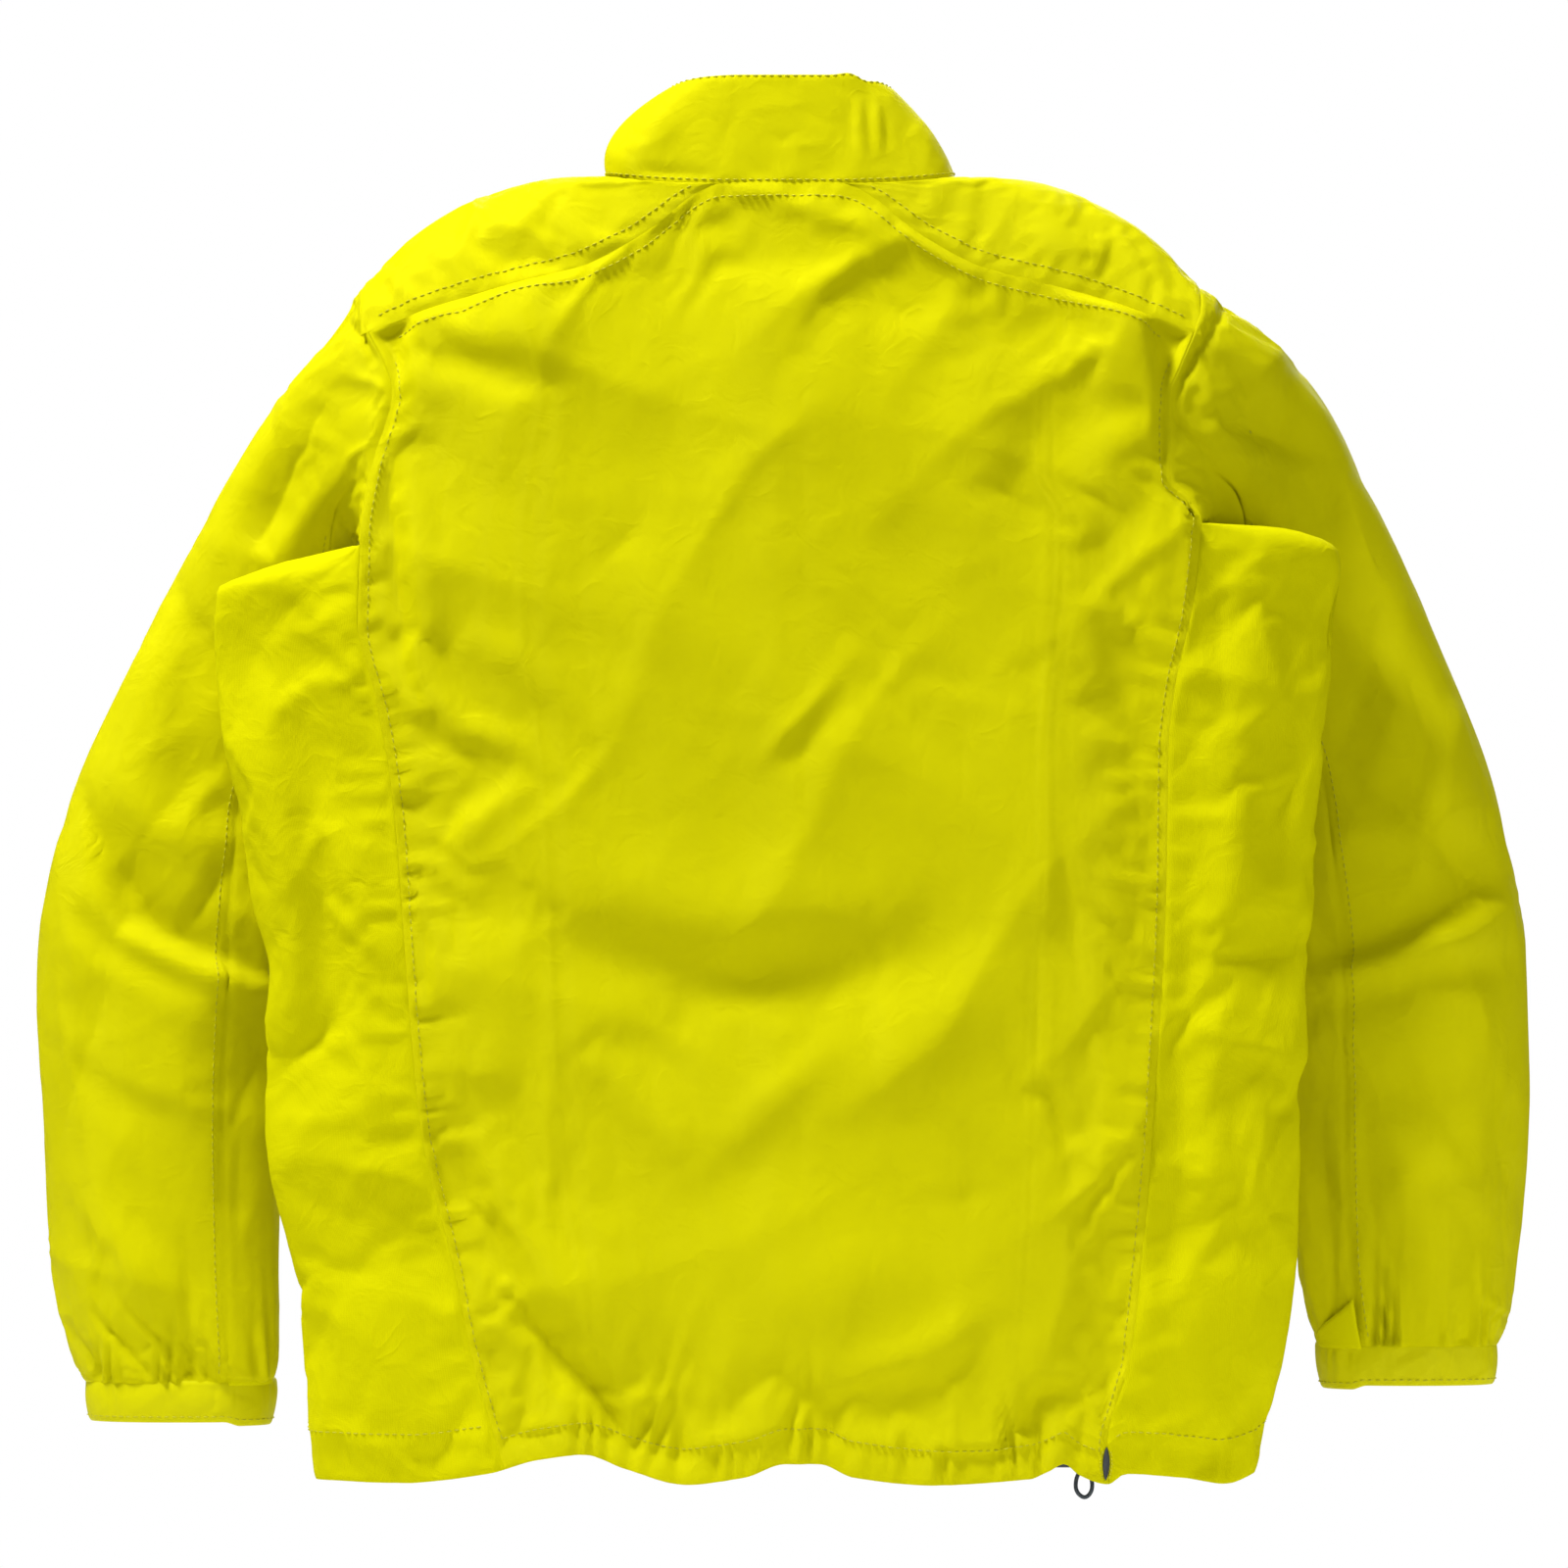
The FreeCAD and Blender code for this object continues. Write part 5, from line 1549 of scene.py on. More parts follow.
@dataclass
class Torso:
    """Back, fronts, side panels, yokes, lining and hem of the body."""

    wardrobe: Wardrobe

    def padded(self, panel: Panel, *nodes: str) -> Array:
        """Build a padded panel of the body.

        Args:
            panel: the panel.
            nodes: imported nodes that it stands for.

        Returns:
            Its outer face.
        """
        piece, outer = panel.build(BODY.hem_wave)
        self.wardrobe.place(piece, "shell_nylon", "shell", *nodes)
        LOG.info("%s: %d faces", piece.name, len(piece.data.polygons))
        return outer

    def back(self) -> Array:
        """Padded back panel, with the folds of the hanging back."""
        panel = Panel("back_cloth", back_face, BODY_CORE, 190, 150, BACK_FOLDS, settling=PADDING,
                      hem_free=True)
        return self.padded(panel, "back_panel", "insulation_back")

    def fronts(self) -> dict[int, Array]:
        """Padded front panels, each with its pocket slot."""
        faces = {}
        for side, word in SIDES.items():
            panel = Panel(f"front_cloth_{word}", front_face(side), BODY_CORE, 150, 74, FRONT_FOLDS,
                          settling=PADDING, hem_free=True, calm=((side * 149.0, -403.0), (side * 171.0, -561.0)))
            faces[side] = self.padded(panel, f"front_panel_{word}", f"insulation_front_{word}")
            cut_slot(bpy.data.objects[f"front_cloth_{word}"], POCKET_ZIPS[side], POCKET_HALF)
        return faces

    def yokes(self) -> dict[int, Array]:
        """Padded shoulder yokes."""
        faces = {}
        for side, word in SIDES.items():
            panel = Panel(f"yoke_cloth_{word}", yoke_face(side), BODY_CORE, 60, 70, YOKE_FOLDS, ends=0.03,
                          settling=Settling(0.5, 0.014, 10, 3.0))
            faces[side] = self.padded(panel, f"shoulder_yoke_{word}")
        return faces

    def sides(self) -> dict[int, Array]:
        """Single-layer stretch side panels."""
        faces = {}
        for side, word in SIDES.items():
            panel = Panel(f"side_cloth_{word}", side_face(side), side_core(side), 150, 90, SIDE_FOLDS,
                          thick=1.1, seam_thick=1.0, seam_drop=0.5, seam_reach=3.0, hem_free=True,
                          settling=Settling(0.35, 0.012, 10, 3.5))
            piece, outer = panel.build(BODY.hem_wave)
            self.wardrobe.place(piece, "side_stretch", "stretch", f"side_panel_{word}")
            faces[side] = outer
        return faces

    def lining(self) -> None:
        """Slate lining behind the back and the fronts, and the pocket bags."""
        core = np.array(BODY_CORE)
        quilt: Lifts = (Ripples(0.7, 60, 51),)

        def back_lining(u: Array, v: Array) -> Array:
            """Back face from above the hem tunnel to below the yoke seam, LINING_IN millimetres in."""
            return inset(back_face, LINING_IN, core)(0.1 + 0.8 * u, 0.036 + 0.93 * v)

        panels = [(Panel("back_lining_cloth", back_lining, BODY_CORE, 90, 76, BACK_FOLDS + quilt, 0.8, 0.8, 0, 3),
                   "lining_back")]
        for side, word in SIDES.items():
            def front_lining(u: Array, v: Array, side: int = side) -> Array:
                """Front face from above the hem tunnel, LINING_IN millimetres in."""
                return inset(front_face(side), LINING_IN, core)(0.12 + 0.78 * u, 0.036 + 0.92 * v)

            def bag(u: Array, v: Array, side: int = side) -> Array:
                """Pouch behind the pocket zip, BAG_IN millimetres in."""
                x, z = side * (98 + 94 * u), -612 + 232 * v
                points = np.stack([x, BODY.front_y(x, z), z], -1)
                return points - grid_normals(points, core) * BAG_IN

            panels.append((Panel(f"front_lining_cloth_{word}", front_lining, BODY_CORE, 80, 40,
                                 FRONT_FOLDS + quilt, 0.8, 0.8, 0, 3), f"lining_front_{word}"))
            panels.append((Panel(f"pocket_bag_{word}", bag, BODY_CORE, 40, 20, quilt, 1.0, 0.9, 0, 3),
                           f"pocket_{word}_bag"))
        for panel, node in panels:
            piece, outer = panel.build(BODY.hem_wave)
            self.wardrobe.place(piece, "slate_lining", "lining", node)

    def hem(self) -> None:
        """Inner wall of the drawcord tunnel and the cord that lies in it."""
        def ring(z: Array, t: Array, depth: Array) -> Array:
            """Superellipse round the hem, t from the left zip edge by the back (0) to the right."""
            side = np.where(t < 0, -1.0, 1.0)
            half = BODY.width(side, z) - depth
            side_y = smooth_table(BODY.side, z)
            rear = np.abs(t) <= 0.5
            power = np.where(rear, BODY.back_power, smooth_table(BODY.front_power, z))
            edge = np.where(rear, smooth_table(BODY.back, z) + depth, smooth_table(BODY.front, z) - depth)
            first = np.arcsin((14.0 / half) ** (power / 2))
            angle = np.where(rear, np.abs(t) * math.pi, first + (1 - np.abs(t)) * 2 * (math.pi / 2 - first))
            x = half * np.sin(angle) ** (2 / power)
            share = np.maximum(0.0, np.cos(angle)) ** (2 / power)
            return np.stack([side * x, side_y + (edge - side_y) * share, z], -1)

        def facing(u: Array, v: Array) -> Array:
            """Wall from the hem's edge, leaning in to the channel's stitch line."""
            z = BODY.hem + 0.6 + TUNNEL_HIGH * v
            depth = TUNNEL_WALL_IN + 0.6 * ease(0.0, 0.45, v) + 0.35 * np.sin(u * 330) * np.sin(math.pi * v)
            return ring(z, 2 * u - 1, depth)

        panel = Panel("hem_tunnel_wall", facing, (0.0, 31.0, BODY.hem + 13), 14, 420, (), 0.8, 0.8, 0, 3, ends=0.004)
        piece, outer = panel.build(BODY.hem_wave)
        self.wardrobe.place(piece, "slate_lining", "lining", "hem_facing")
        t = np.linspace(-0.985, 0.985, 80)
        line = BODY.hem_wave(ring(np.full_like(t, BODY.hem + 7.5), t, np.full_like(t, TUNNEL_CORD_IN)))
        cord = make_curve("cord_in_tunnel", line, 1.0, 6)
        self.wardrobe.place(cord, "slate_cord", "cord", "hem_drawcord")

    def flaps(self) -> None:
        """Soft flap and chin guard behind the front zip."""
        for node, strip in (("draft_flap", (-26, 14, BODY.hem + 27, -70, 72.5)),
                            ("chin_guard", (-13, 13, -44, 4.5, 73.8))):
            def face(u: Array, v: Array, strip: tuple[float, ...] = strip) -> Array:
                """Flat strip with corners rounded by a superellipse of its ends."""
                left, right, low, high, depth = strip
                middle, half = (left + right) / 2, (right - left) / 2
                end = np.clip(np.minimum(v, 1 - v) * (high - low) / 6.0, 0, 1)
                x = middle + half * (2 * u - 1) * (0.7 + 0.3 * np.sqrt(1 - (1 - end) ** 2))
                z = low + (high - low) * v
                return np.stack([x, depth + 0.5 * np.sin(z / 17) * np.sin(z / 41), z], -1)

            piece, _ = Panel(f"{node}_cloth", face, BODY_CORE, 60, 12, (), 1.4, 0.7, 0, 3, ends=0.02).build()
            self.wardrobe.place(piece, "shell_nylon", "shell", node)

    def build(self) -> BodyFaces:
        """Build the body, and give the outer faces that the sewing follows."""
        faces = BodyFaces(self.back(), self.fronts(), self.yokes(), self.sides())
        self.lining()
        self.hem()
        self.flaps()
        return faces


def make_curve(name: str, line: Array, radius: float, sides: int) -> bpy.types.Object:
    """Round NURBS curve of order 3 that reaches its ends.

    Args:
        name: name of the piece.
        line: control points, in millimetres.
        radius: radius of its section, in millimetres.
        sides: sides of its section.

    Returns:
        The curve object, linked into the scene.
    """
    curve = bpy.data.curves.new(name, "CURVE")
    curve.dimensions = "3D"
    curve.bevel_depth = radius * 0.001
    curve.bevel_resolution = sides // 2
    curve.resolution_u = 8
    curve.use_fill_caps = True
    spline = curve.splines.new("NURBS")
    spline.points.add(len(line) - 1)
    spline.points.foreach_set("co", np.column_stack([np.asarray(line) * 0.001, np.ones(len(line))]).ravel())
    spline.order_u = 3
    spline.use_endpoint_u = True
    piece = bpy.data.objects.new(name, curve)
    bpy.context.scene.collection.objects.link(piece)
    return piece


@dataclass
class Collar:
    """Stand collar: padded outside, slate inside."""

    wardrobe: Wardrobe

    def build(self) -> Array:
        """Build the collar and its lining; gives the outer face."""
        folds: Lifts = (
            Fold(((37, 43), (36, 29), (37, 15)), -0.8, 2.6, FoldForm.SHARP),
            Fold(((45, 45), (47, 29), (48, 14)), -0.9, 2.8, FoldForm.SHARP),
            Fold(((54, 44), (55, 29), (56, 15)), -0.8, 2.6, FoldForm.SHARP),
            Fold(((41, 43), (41, 29), (43, 15)), 1.1, 2.6),
            Fold(((50, 43), (51, 29), (52, 15)), 1.0, 2.6),
            Fold(((-76, 6), (-55, 4), (-37, 4)), -1.4, 2.6, FoldForm.SHARP),
            Fold(((-55, 48), (-66, 29), (-76, 11)), 1.6, 10),
            Ripples(0.35, 34, 61),
        )
        core = COLLAR_CORE
        panel = Panel("collar_cloth", collar_face, core, 34, 190, folds, 3.4, 1.6, 0.6, 3.0, ends=0.01)
        piece, outer = panel.build()
        self.wardrobe.place(piece, "shell_nylon", "shell", "collar_outer")

        def inside(u: Array, v: Array) -> Array:
            """Collar face 5.6 mm in, from its seam to just under its edge."""
            return inset(collar_face, 5.6, np.array(core))(0.012 + 0.976 * u, 0.02 + 0.93 * v)

        lining, _ = Panel("collar_inside_cloth", inside, core, 20, 110, (), 0.8, 0.8, 0, 3).build()
        self.wardrobe.place(lining, "slate_lining", "lining", "collar_lining")
        LOG.info("collar: %d faces", len(piece.data.polygons))
        return outer


SLEEVE_FOLDS: dict[int, Lifts] = {
    -1: (
        Fold(((-363, -358), (-350, -394), (-309, -413), (-267, -427)), 5.0, 9, FoldForm.LAPPED),
        Fold(((-378, -384), (-353, -407), (-298, -436)), -3.4, 9),
        Fold(((-355, -317), (-329, -343), (-283, -353)), 2.4, 14),
        Fold(((-241, -110), (-262, -151), (-283, -198)), -3.6, 10, FoldForm.SHARP),
        Fold(((-231, -131), (-252, -183), (-272, -214)), 3.0, 12),
        Fold(((-257, -110), (-288, -162), (-309, -214)), 2.4, 16),
        Fold(((-236, -69), (-221, -82), (-205, -99)), -2.2, 5, FoldForm.SHARP),
        Fold(((-309, -224), (-319, -276), (-314, -327)), -2.6, 16),
        Fold(((-381, -462), (-345, -488), (-309, -498)), -2.2, 14),
        Fold(((-376, -534), (-345, -570), (-319, -601)), 2.6, 12),
        Fold(((-366, -599), (-347, -619), (-329, -640)), -2.4, 4, FoldForm.SHARP),
        Fold(((-350, -591), (-329, -614), (-311, -640)), -2.6, 4, FoldForm.SHARP),
        Fold(((-375, -614), (-366, -627), (-356, -640)), -2.0, 4, FoldForm.SHARP),
        Fold(((-329, -601), (-314, -622), (-298, -640)), -2.0, 4, FoldForm.SHARP),
        Fold(((-293, -363), (-302, -379), (-314, -397)), -1.8, 4, FoldForm.SHARP),
        Gathers(((-373, -636), (-319, -637), (-257, -637)), 10.0, 2.3, 22.0, 15),
        Ripples(2.2, 120, 71),
        Ripples(0.4, 60, 73),
    ),
    1: (
        Fold(((278, -419), (322, -407), (363, -389), (396, -371)), 5.0, 9, FoldForm.LAPPED),
        Fold(((281, -441), (332, -425), (389, -413)), -3.0, 11),
        Fold(((292, -348), (327, -343), (379, -327)), 2.6, 14),
        Fold(((240, -58), (221, -89), (204, -115)), -3.0, 5, FoldForm.SHARP),
        Fold(((203, -118), (226, -142), (233, -168)), -3.0, 6, FoldForm.SHARP),
        Fold(((224, -120), (255, -162), (281, -214)), 3.0, 14),
        Fold(((239, -100), (281, -146), (307, -208)), -2.6, 12),
        Fold(((296, -224), (312, -276), (307, -332)), -2.4, 16),
        Fold(((312, -472), (338, -488), (384, -498)), -2.4, 14),
        Fold(((322, -539), (348, -524), (384, -544)), 2.4, 12),
        Gathers(((283, -614), (332, -614), (385, -614)), 10.0, 2.7, 24.0, 16),
        Ripples(2.2, 120, 72),
        Ripples(0.4, 60, 74),
    ),
}


@dataclass
class Sleeve:
    """One sleeve: padded tube, lining, cuff band, cuff gusset and its sewing."""

    side: int
    wardrobe: Wardrobe

    def bend(self, piece: bpy.types.Object) -> None:
        """Bake the piece's transform into its mesh."""
        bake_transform(piece)

    def build(self) -> None:
        """Build the tube, its lining, the cuff band, the gusset and the sewing."""
        word = SIDES[self.side]
        shape = SleeveShape(self.side)
        middle = SLEEVE_RINGS[self.side][6]
        core = (self.side * (middle[0] - 30.0), 60.0, -330.0)

        def tube(u: Array, v: Array) -> Array:
            """Sleeve face with a groove 1.2 mm deep along each under-sleeve seam."""
            points = shape.face(u, v)
            centre = np.mean(points, axis=1, keepdims=True)
            groove = sum(np.exp(-(((u * 360 - at) / 1.8) ** 2)) for at in UNDER_SEAMS) * ease(0.03, 0.1, v)
            out = points - centre
            out /= np.maximum(np.linalg.norm(out, axis=-1, keepdims=True), 1e-6)
            return points - out * (1.2 * groove)[..., None]

        panel = Panel(f"sleeve_cloth_{word}", tube, core, 190, 200, SLEEVE_FOLDS[self.side], 4.2, 1.4, 0.9, 4.0,
                      Settling(0.9, 0.02, 12, 4.0), True, 0.012, -1)
        piece, outer = panel.build()
        self.wardrobe.dress(piece, "shell_nylon")
        self.bend(piece)
        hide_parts(f"sleeve_{word}_outer", f"sleeve_{word}_under")

        def inside(u: Array, v: Array) -> Array:
            """Sleeve face from below the armhole, drawn in by 6.6 mm towards each ring's middle."""
            points = shape.face(u, 0.15 + 0.835 * v)
            out = points - np.mean(points, axis=1, keepdims=True)
            out /= np.maximum(np.linalg.norm(out, axis=-1, keepdims=True), 1e-6)
            return points - out * 6.6

        lining, face = Panel(f"sleeve_inside_{word}", inside, core, 110, 110, SLEEVE_FOLDS[self.side], 0.7, 0.7, 0,
                             3, None, True, 0.012, -1).build()
        self.wardrobe.dress(lining, "slate_lining")
        self.bend(lining)
        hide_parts(f"sleeve_{word}_lining")
        low = SLEEVE_RINGS[self.side][-1]
        gathers: Lifts = (Gathers(((-400, low[2] - 1), (400, low[2] - 1)), 6.5, 0.7, 9.0, 17),
                          Ripples(0.3, 26, 81))
        band, band_face = Panel(f"cuff_cloth_{word}", shape.cuff_face, (self.side * low[0], CUFF_Y, low[2] - 10),
                                22, 170, gathers, 2.0, 1.4, 0.7, 2.4, None, True, 0.06).build()
        self.wardrobe.place(band, "cuff_satin", "rib", f"sleeve_{word}_cuff_band", body=f"sleeve_{word}")
        gusset, _ = Panel(f"cuff_gusset_cloth_{word}", shape.gusset_face, (self.side * low[0], CUFF_Y, low[2]),
                          24, 90, (), 1.1, 0.8, 0.9, 2.0, ends=0.02).build()
        self.wardrobe.place(gusset, "side_stretch", "stretch", f"sleeve_{word}_cuff_gusset",
                            body=f"sleeve_{word}")
        self.sew(outer, band_face)
        LOG.info("sleeve %s: %d faces", word, len(piece.data.polygons))

    def sew(self, outer: Array, band: Array) -> None:
        """Stitch rows beside the under-sleeve seams and above the cuff's edge.

        Args:
            outer: outer face of the sleeve.
            band: outer face of the cuff band.
        """
        core = np.mean(outer, axis=(0, 1))
        normal = grid_normals(outer, core)
        paths = []
        for at, step in ((UNDER_SEAMS[0], -3), (UNDER_SEAMS[1], 3)):
            column = int(round(at / 360 * outer.shape[1])) + step
            rows = slice(48, outer.shape[0] - 8)
            radial = outer[rows, column] - np.mean(outer[rows], axis=1)
            sign = np.sign(np.sum(normal[rows, column] * radial))
            paths.append((outer[rows, column], normal[rows, column] * sign))
        ring = np.concatenate([band[8], band[8, :1]])
        out = ring - np.mean(ring, axis=0)
        paths.append((ring, out))
        points, quads = Sewing().sew(paths)
        piece = put_mesh(f"sleeve_sewing_{SIDES[self.side]}", points, quads)
        self.wardrobe.place(piece, "seam_thread", "shell", body=f"sleeve_{SIDES[self.side]}")


# ------------------------------------------------------------------ sewing of the body
@dataclass
class BodySewing:
    """Stitch rows beside the seams of the body."""

    wardrobe: Wardrobe

    def build(self, faces: BodyFaces, collar: Array) -> None:
        """Rows along grid lines of each face, a few millimetres inside its edges.

        Args:
            faces: outer faces of the body's panels.
            collar: outer face of the collar.
        """
        paths = []

        def hem_row(face: Array, column: int) -> int:
            """Number of the row that lies nearest to the tunnel's stitch line at a column."""
            return int(np.argmin(np.abs(face[:, column, 2] - HEM_STITCH_Z)))

        def row(face: Array, pick: tuple[int | slice, int | slice], core: Array) -> None:
            """Add one grid line of a face as a path."""
            normal = grid_normals(face, core)
            paths.append((face[pick], normal[pick]))

        core = np.array(BODY_CORE)
        back = faces.back
        row(back, (slice(8, -8), -7), core)
        row(back, (slice(8, -8), 6), core)
        row(back, (-7, slice(8, -8)), core)
        row(back, (hem_row(back, 75), slice(4, -4)), core)
        for side in SIDES:
            yoke, front, flank = faces.yokes[side], faces.fronts[side], faces.sides[side]
            row(yoke, (7, slice(6, -6)), core)
            row(yoke, (-8, slice(6, -6)), core)
            row(front, (slice(6, -6), 6), core)
            row(front, (slice(6, -6), -7), core)
            row(front, (hem_row(front, 30), slice(4, -4)), core)
            row(flank, (hem_row(flank, 40), slice(4, -4)), np.array(side_core(side)))
        row(collar, (7, slice(8, -8)), np.array(COLLAR_CORE))
        row(collar, (-7, slice(8, -8)), np.array(COLLAR_CORE))
        points, quads = Sewing().sew(paths)
        piece = put_mesh("body_sewing", points, quads)
        self.wardrobe.place(piece, "seam_thread", "shell")
        LOG.info("body sewing: %d faces", len(quads))


# ------------------------------------------------------------------ zips
@dataclass
class Zips:
    """Coils, tapes, sliders and pulls of the front and pocket zips."""

    wardrobe: Wardrobe
    pitch: float = 1.7
    apart: float = 1.95
    deep: float = -3.35
    wire: float = 0.38

    def coil(self, name: str, node: str, place: ZipPlace, side: int, low: float, high: float) -> None:
        """One half of a coil: wire round an oval helix.

        Its centre line (x, y, z) is (side (apart + 0.72 cos a), deep + 1.15 sin a, low + pitch a / 2 pi).

        Args:
            name: name of the piece.
            node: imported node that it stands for.
            place: the zip's own frame.
            side: -1 or 1, the half's side of the zip.
            low: lower end along the zip, in millimetres.
            high: upper end along the zip, in millimetres.
        """
        turns = int((high - low) / self.pitch)
        a = np.linspace(0, turns * 2 * math.pi, turns * 8 + 1)
        line = np.stack([side * (self.apart + 0.72 * np.cos(a)), self.deep + 1.15 * np.sin(a),
                         low + self.pitch * a / 2 / math.pi], -1)
        ahead = np.gradient(line, axis=0)
        ahead /= np.linalg.norm(ahead, axis=1, keepdims=True)
        out = line - np.stack([np.full_like(a, side * self.apart), np.full_like(a, self.deep), line[:, 2]], -1)
        out /= np.linalg.norm(out, axis=1, keepdims=True)
        beside_way = np.cross(ahead, out)
        turn = np.arange(5) * 2 * math.pi / 5
        points = (line[:, None] + self.wire * (out[:, None] * np.cos(turn)[None, :, None]
                                               + beside_way[:, None] * np.sin(turn)[None, :, None]))
        count = len(a)
        last = (count - 1) * 5
        quads = np.concatenate([grid_quads(count, 5, 0, True), [[0, 1, 2, 3], [last + 3, last + 2, last + 1, last]]])
        piece = put_mesh(name, place.carry(points.reshape(-1, 3)), quads)
        self.wardrobe.place(piece, "coil_nylon", "coil", node)

    def build(self) -> None:
        """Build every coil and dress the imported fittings."""
        self.coil("main_coil_left", "main_zip_coil_left", MAIN_ZIP, -1, -669.0, 2.5)
        self.coil("main_coil_right", "main_zip_coil_right", MAIN_ZIP, 1, -663.0, 2.5)
        for side, word in SIDES.items():
            half = POCKET_HALF - 0.8
            for row, at in (("inner", -1), ("outer", 1)):
                self.coil(f"pocket_coil_{word}_{row}", f"pocket_{word}_coil_{row}", POCKET_ZIPS[side], at, -half, half)
            for node, finish in ((f"pocket_{word}_tape", "woven_tape"), (f"pocket_{word}_slider", "slider_metal"),
                                 (f"pocket_{word}_pull", "pull_rubber"), (f"main_zip_tape_{word}", "woven_tape"),
                                 (f"main_zip_stop_{word}", "slider_metal")):
                self.wardrobe.dress_node(node, finish)
        for node, finish in (("main_zip_slider", "slider_metal"), ("main_zip_pull", "pull_rubber"),
                             ("main_zip_box", "lock_plastic"), ("main_zip_pin", "lock_plastic"),
                             ("hang_loop", "woven_tape"), ("neck_patch", "label_satin")):
            self.wardrobe.dress_node(node, finish)


# ------------------------------------------------------------------ drawcord
@dataclass
class Drawcord:
    """Loop of the drawcord below the hem, its lock and the slit that it leaves by."""

    wardrobe: Wardrobe
    x: float = 160.0
    y: float = 8.5
    length: float = 0.0853
    slit_x: float = 171.0
    slit_half: float = 1.9
    slit_high: float = 17.0

    def loop(self) -> None:
        """Cord that runs out of the tunnel, through the lock and round below the hem."""
        hem, y = BODY.hem, self.y
        leg = ((1.7, -4.9, hem + 18), (1.7, y, hem + 18), (1.7, y, hem + 7), (1.9, y, hem - 0.6),
               (4.3, y - 0.6, hem - 5.0), (4.4, y - 1.2, hem - 11.6))
        route = ([(self.x + x, at, z) for x, at, z in leg] + [(self.x + 0.4, y - 1.5, hem - 15.6)]
                 + [(self.x - x, at, z) for x, at, z in leg[::-1]])
        cord = make_curve("drawcord_end_loop", np.array(route), 1.1, 8)
        self.wardrobe.place(cord, "slate_cord", "cord", "drawcord_loop")

    def slit(self) -> None:
        """Leaf-shaped opening in the hem, its half width going as sin(pi v)^0.7, and its stitched rims."""
        v, w = np.meshgrid(np.linspace(0.0, 1.0, 25), np.linspace(-1, 1, 9))
        x = self.slit_x + self.slit_half * w * np.sin(math.pi * v) ** 0.7 + 0.6 * v
        z = BODY.hem + 2 + self.slit_high * v
        face = np.stack([x, BODY.back_y(x, z) - 0.9 * (1 - w**2) - 0.15, z], -1)
        slit = shell("drawcord_slit", BODY.hem_wave(face), BODY.hem_wave(face + np.array((0.0, 1.4, 0.0))))
        self.wardrobe.place(slit, "slate_lining", "lining")
        rims = []
        for sign in (-1.0, 1.0):
            edge = BODY.hem_wave(face[0 if sign < 0 else -1]) + np.array((sign * 1.1, -0.5, 0.0))
            rims.append((edge, np.tile((0.0, -1.0, 0.0), (len(edge), 1))))
        self.wardrobe.place(put_mesh("slit_sewing", *Sewing(1.6, 1.9, 0.4).sew(rims)), "seam_thread", "shell")

    def build(self) -> None:
        """Build the loop and the slit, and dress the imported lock."""
        self.loop()
        self.slit()
        for node, finish in (("cord_eyelet", "lock_plastic"), ("cord_lock_body", "lock_plastic"),
                             ("cord_lock_plunger", "lock_plastic"), ("cord_lock_spring", "spring_steel")):
            self.wardrobe.dress_node(node, finish)


# ------------------------------------------------------------------ studio
LIGHTS = (
    ("key", (-1.1, -0.72, 1.85), 0.5, 88),
    ("fill", (1.9, -2.2, 0.0), 1.6, 23),
    ("front_fill", (0.6, 2.6, 0.9), 1.8, 46),
    ("top", (0.0, 0.2, 2.0), 1.4, 20),
)


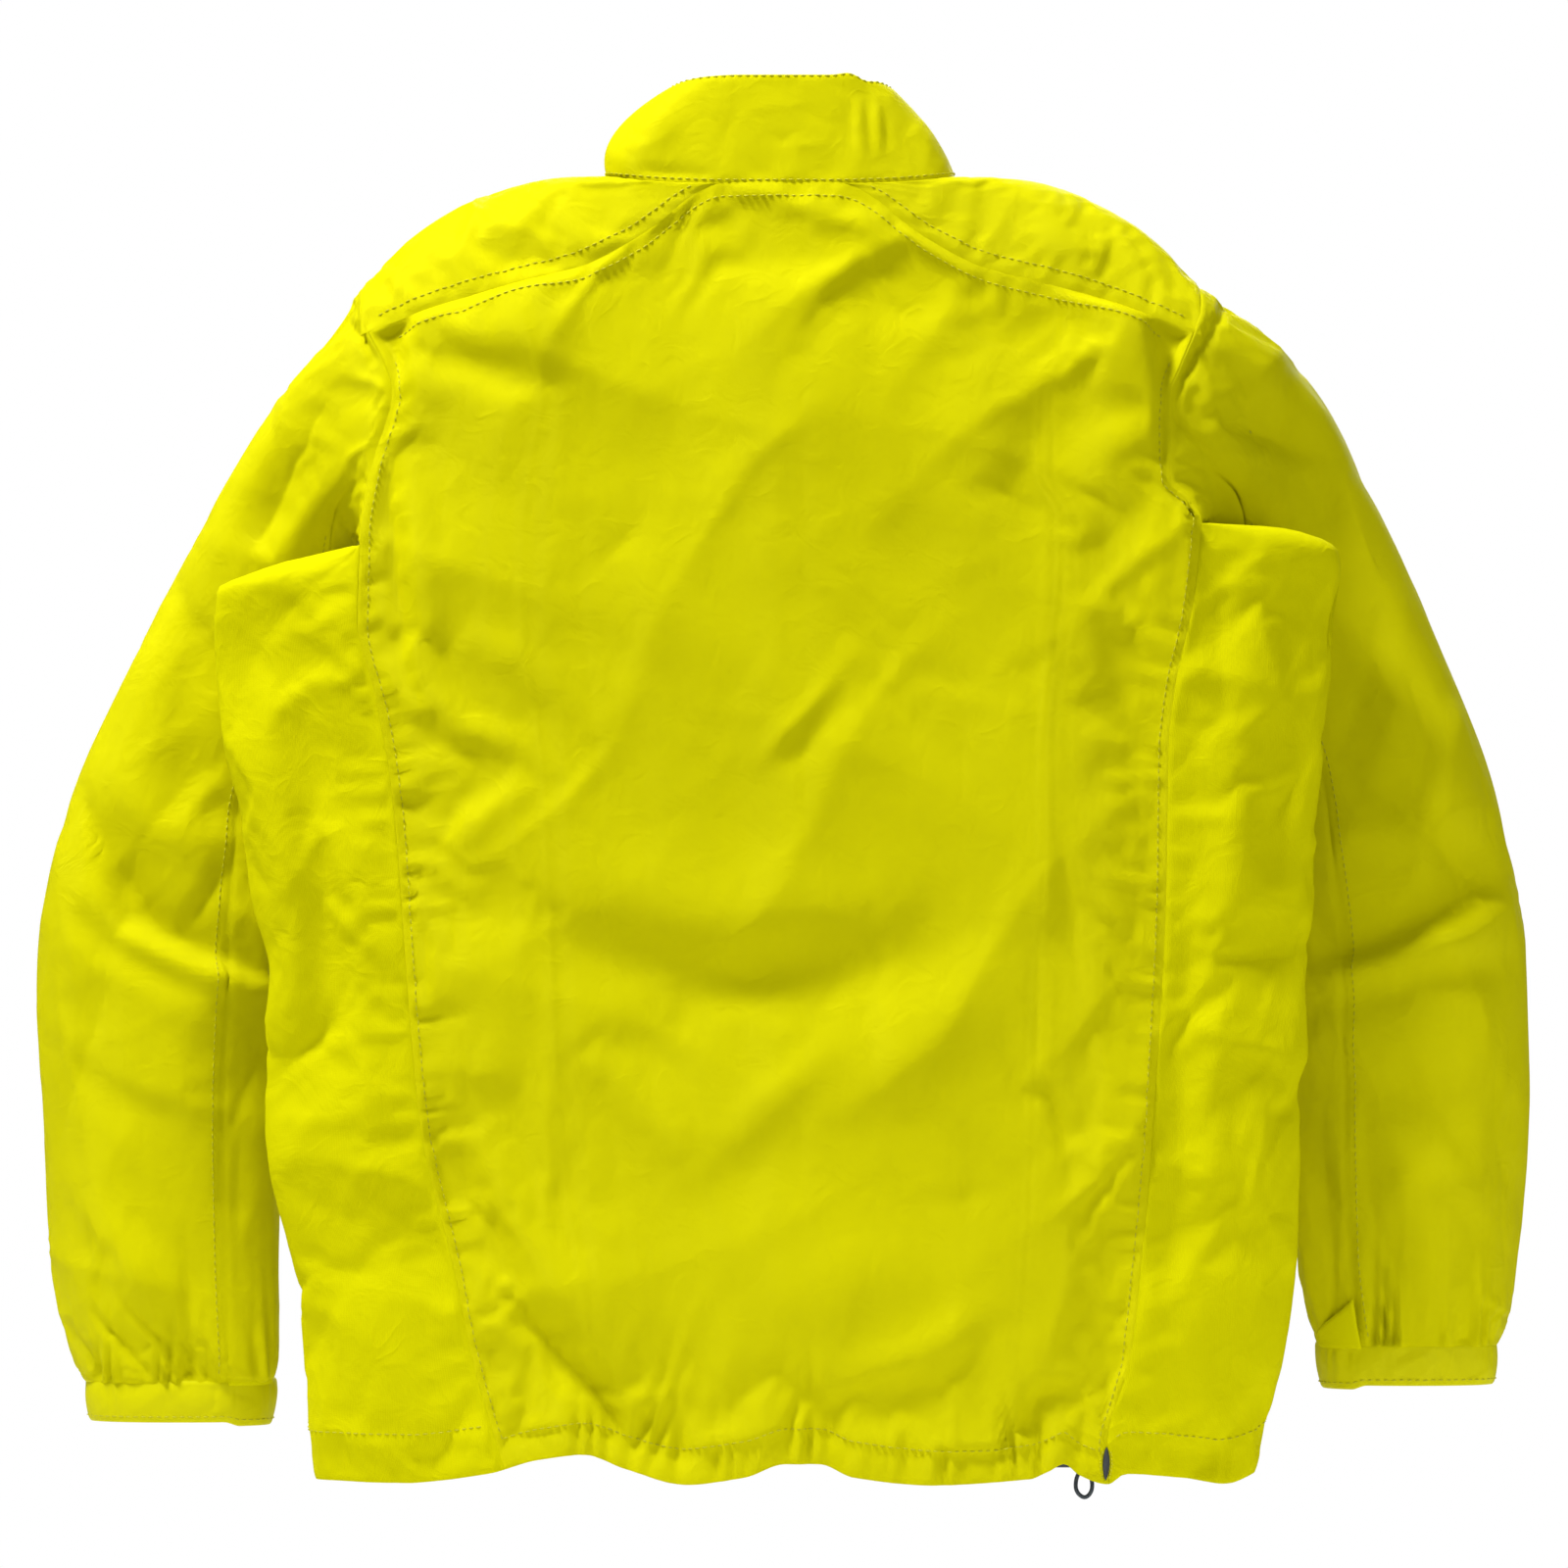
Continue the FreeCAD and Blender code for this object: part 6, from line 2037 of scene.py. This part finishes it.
@dataclass(frozen=True)
class Studio:
    """Camera, soft lights, pale world and floor."""

    aim: tuple[float, float, float] = (0.0016, 0.0, -0.317)
    distance: float = 6.0
    frame_width: float = 0.827
    floor_z: float = -0.78
    cast_strength: float = 0.15

    def camera(self) -> None:
        """Long-lens camera that looks along +Y at the back of the jacket."""
        data = bpy.data.cameras.new("camera")
        data.sensor_width = 36.0
        data.lens = 36.0 * self.distance / self.frame_width
        data.clip_end = 60.0
        camera = bpy.data.objects.new("camera", data)
        camera.location = (self.aim[0], -self.distance, self.aim[2])
        camera.rotation_euler = (math.pi / 2, 0, 0)
        bpy.context.scene.collection.objects.link(camera)
        bpy.context.scene.camera = camera

    def light(self, name: str, place: tuple[float, float, float], size: float, power: float) -> None:
        """Square soft light aimed at the jacket.

        Args:
            name: the light's name.
            place: where it hangs, in metres.
            size: side of its square, in metres.
            power: its power, in watts.
        """
        data = bpy.data.lights.new(name, "AREA")
        data.size = size
        data.energy = power
        lamp = bpy.data.objects.new(name, data)
        lamp.location = place
        way = np.array(self.aim) - np.array(place)
        flat = math.hypot(way[0], way[1])
        lamp.rotation_euler = (math.atan2(flat, -way[2]), 0, math.atan2(way[1], way[0]) - math.pi / 2)
        bpy.context.scene.collection.objects.link(lamp)

    def world(self) -> None:
        """Pale world: white behind the jacket, a softer grey where it lights it."""
        world = bpy.data.worlds.new("studio")
        bpy.context.scene.world = world
        world.use_nodes = True
        n = Nodes(world.node_tree)
        world.node_tree.nodes.clear()
        out = n.add("ShaderNodeOutputWorld")
        seen, cast = n.add("ShaderNodeBackground"), n.add("ShaderNodeBackground")
        seen.inputs[0].default_value = (1, 1, 1, 1)
        seen.inputs[1].default_value = 1.0
        cast.inputs[0].default_value = (1, 1, 1, 1)
        cast.inputs[1].default_value = self.cast_strength
        mix = n.add("ShaderNodeMixShader")
        path = n.add("ShaderNodeLightPath")
        n.join(path.outputs["Is Camera Ray"], mix.inputs[0])
        n.join(cast.outputs[0], mix.inputs[1])
        n.join(seen.outputs[0], mix.inputs[2])
        n.join(mix.outputs[0], out.inputs[0])

    def build(self, wardrobe: Wardrobe) -> None:
        """Set the camera, the world, the lights and the floor.

        Args:
            wardrobe: maker of the floor's finish.
        """
        self.camera()
        self.world()
        for name, place, size, power in LIGHTS:
            self.light(name, place, size, power)
        u, v = np.meshgrid(np.linspace(-1, 1, 9), np.linspace(-1, 1, 9))
        points = np.stack([u * 1400, v * 700 - 100, np.full_like(u, self.floor_z * 1000)], -1)
        floor = put_mesh("floor", points, grid_quads(9, 9), closed=False)
        wardrobe.dress(floor, "studio_floor")
        bpy.context.scene.view_settings.view_transform = "Standard"


def main() -> None:
    """Build the studio and every sub-assembly."""
    logging.basicConfig(level=logging.INFO, format="%(name)s: %(message)s")
    wardrobe = Wardrobe()
    Studio().build(wardrobe)
    Drawcord(wardrobe).build()
    faces = Torso(wardrobe).build()
    collar = Collar(wardrobe).build()
    for side in SIDES:
        Sleeve(side, wardrobe).build()
    BodySewing(wardrobe).build(faces, collar)
    Zips(wardrobe).build()


if __name__ == "__main__":
    main()
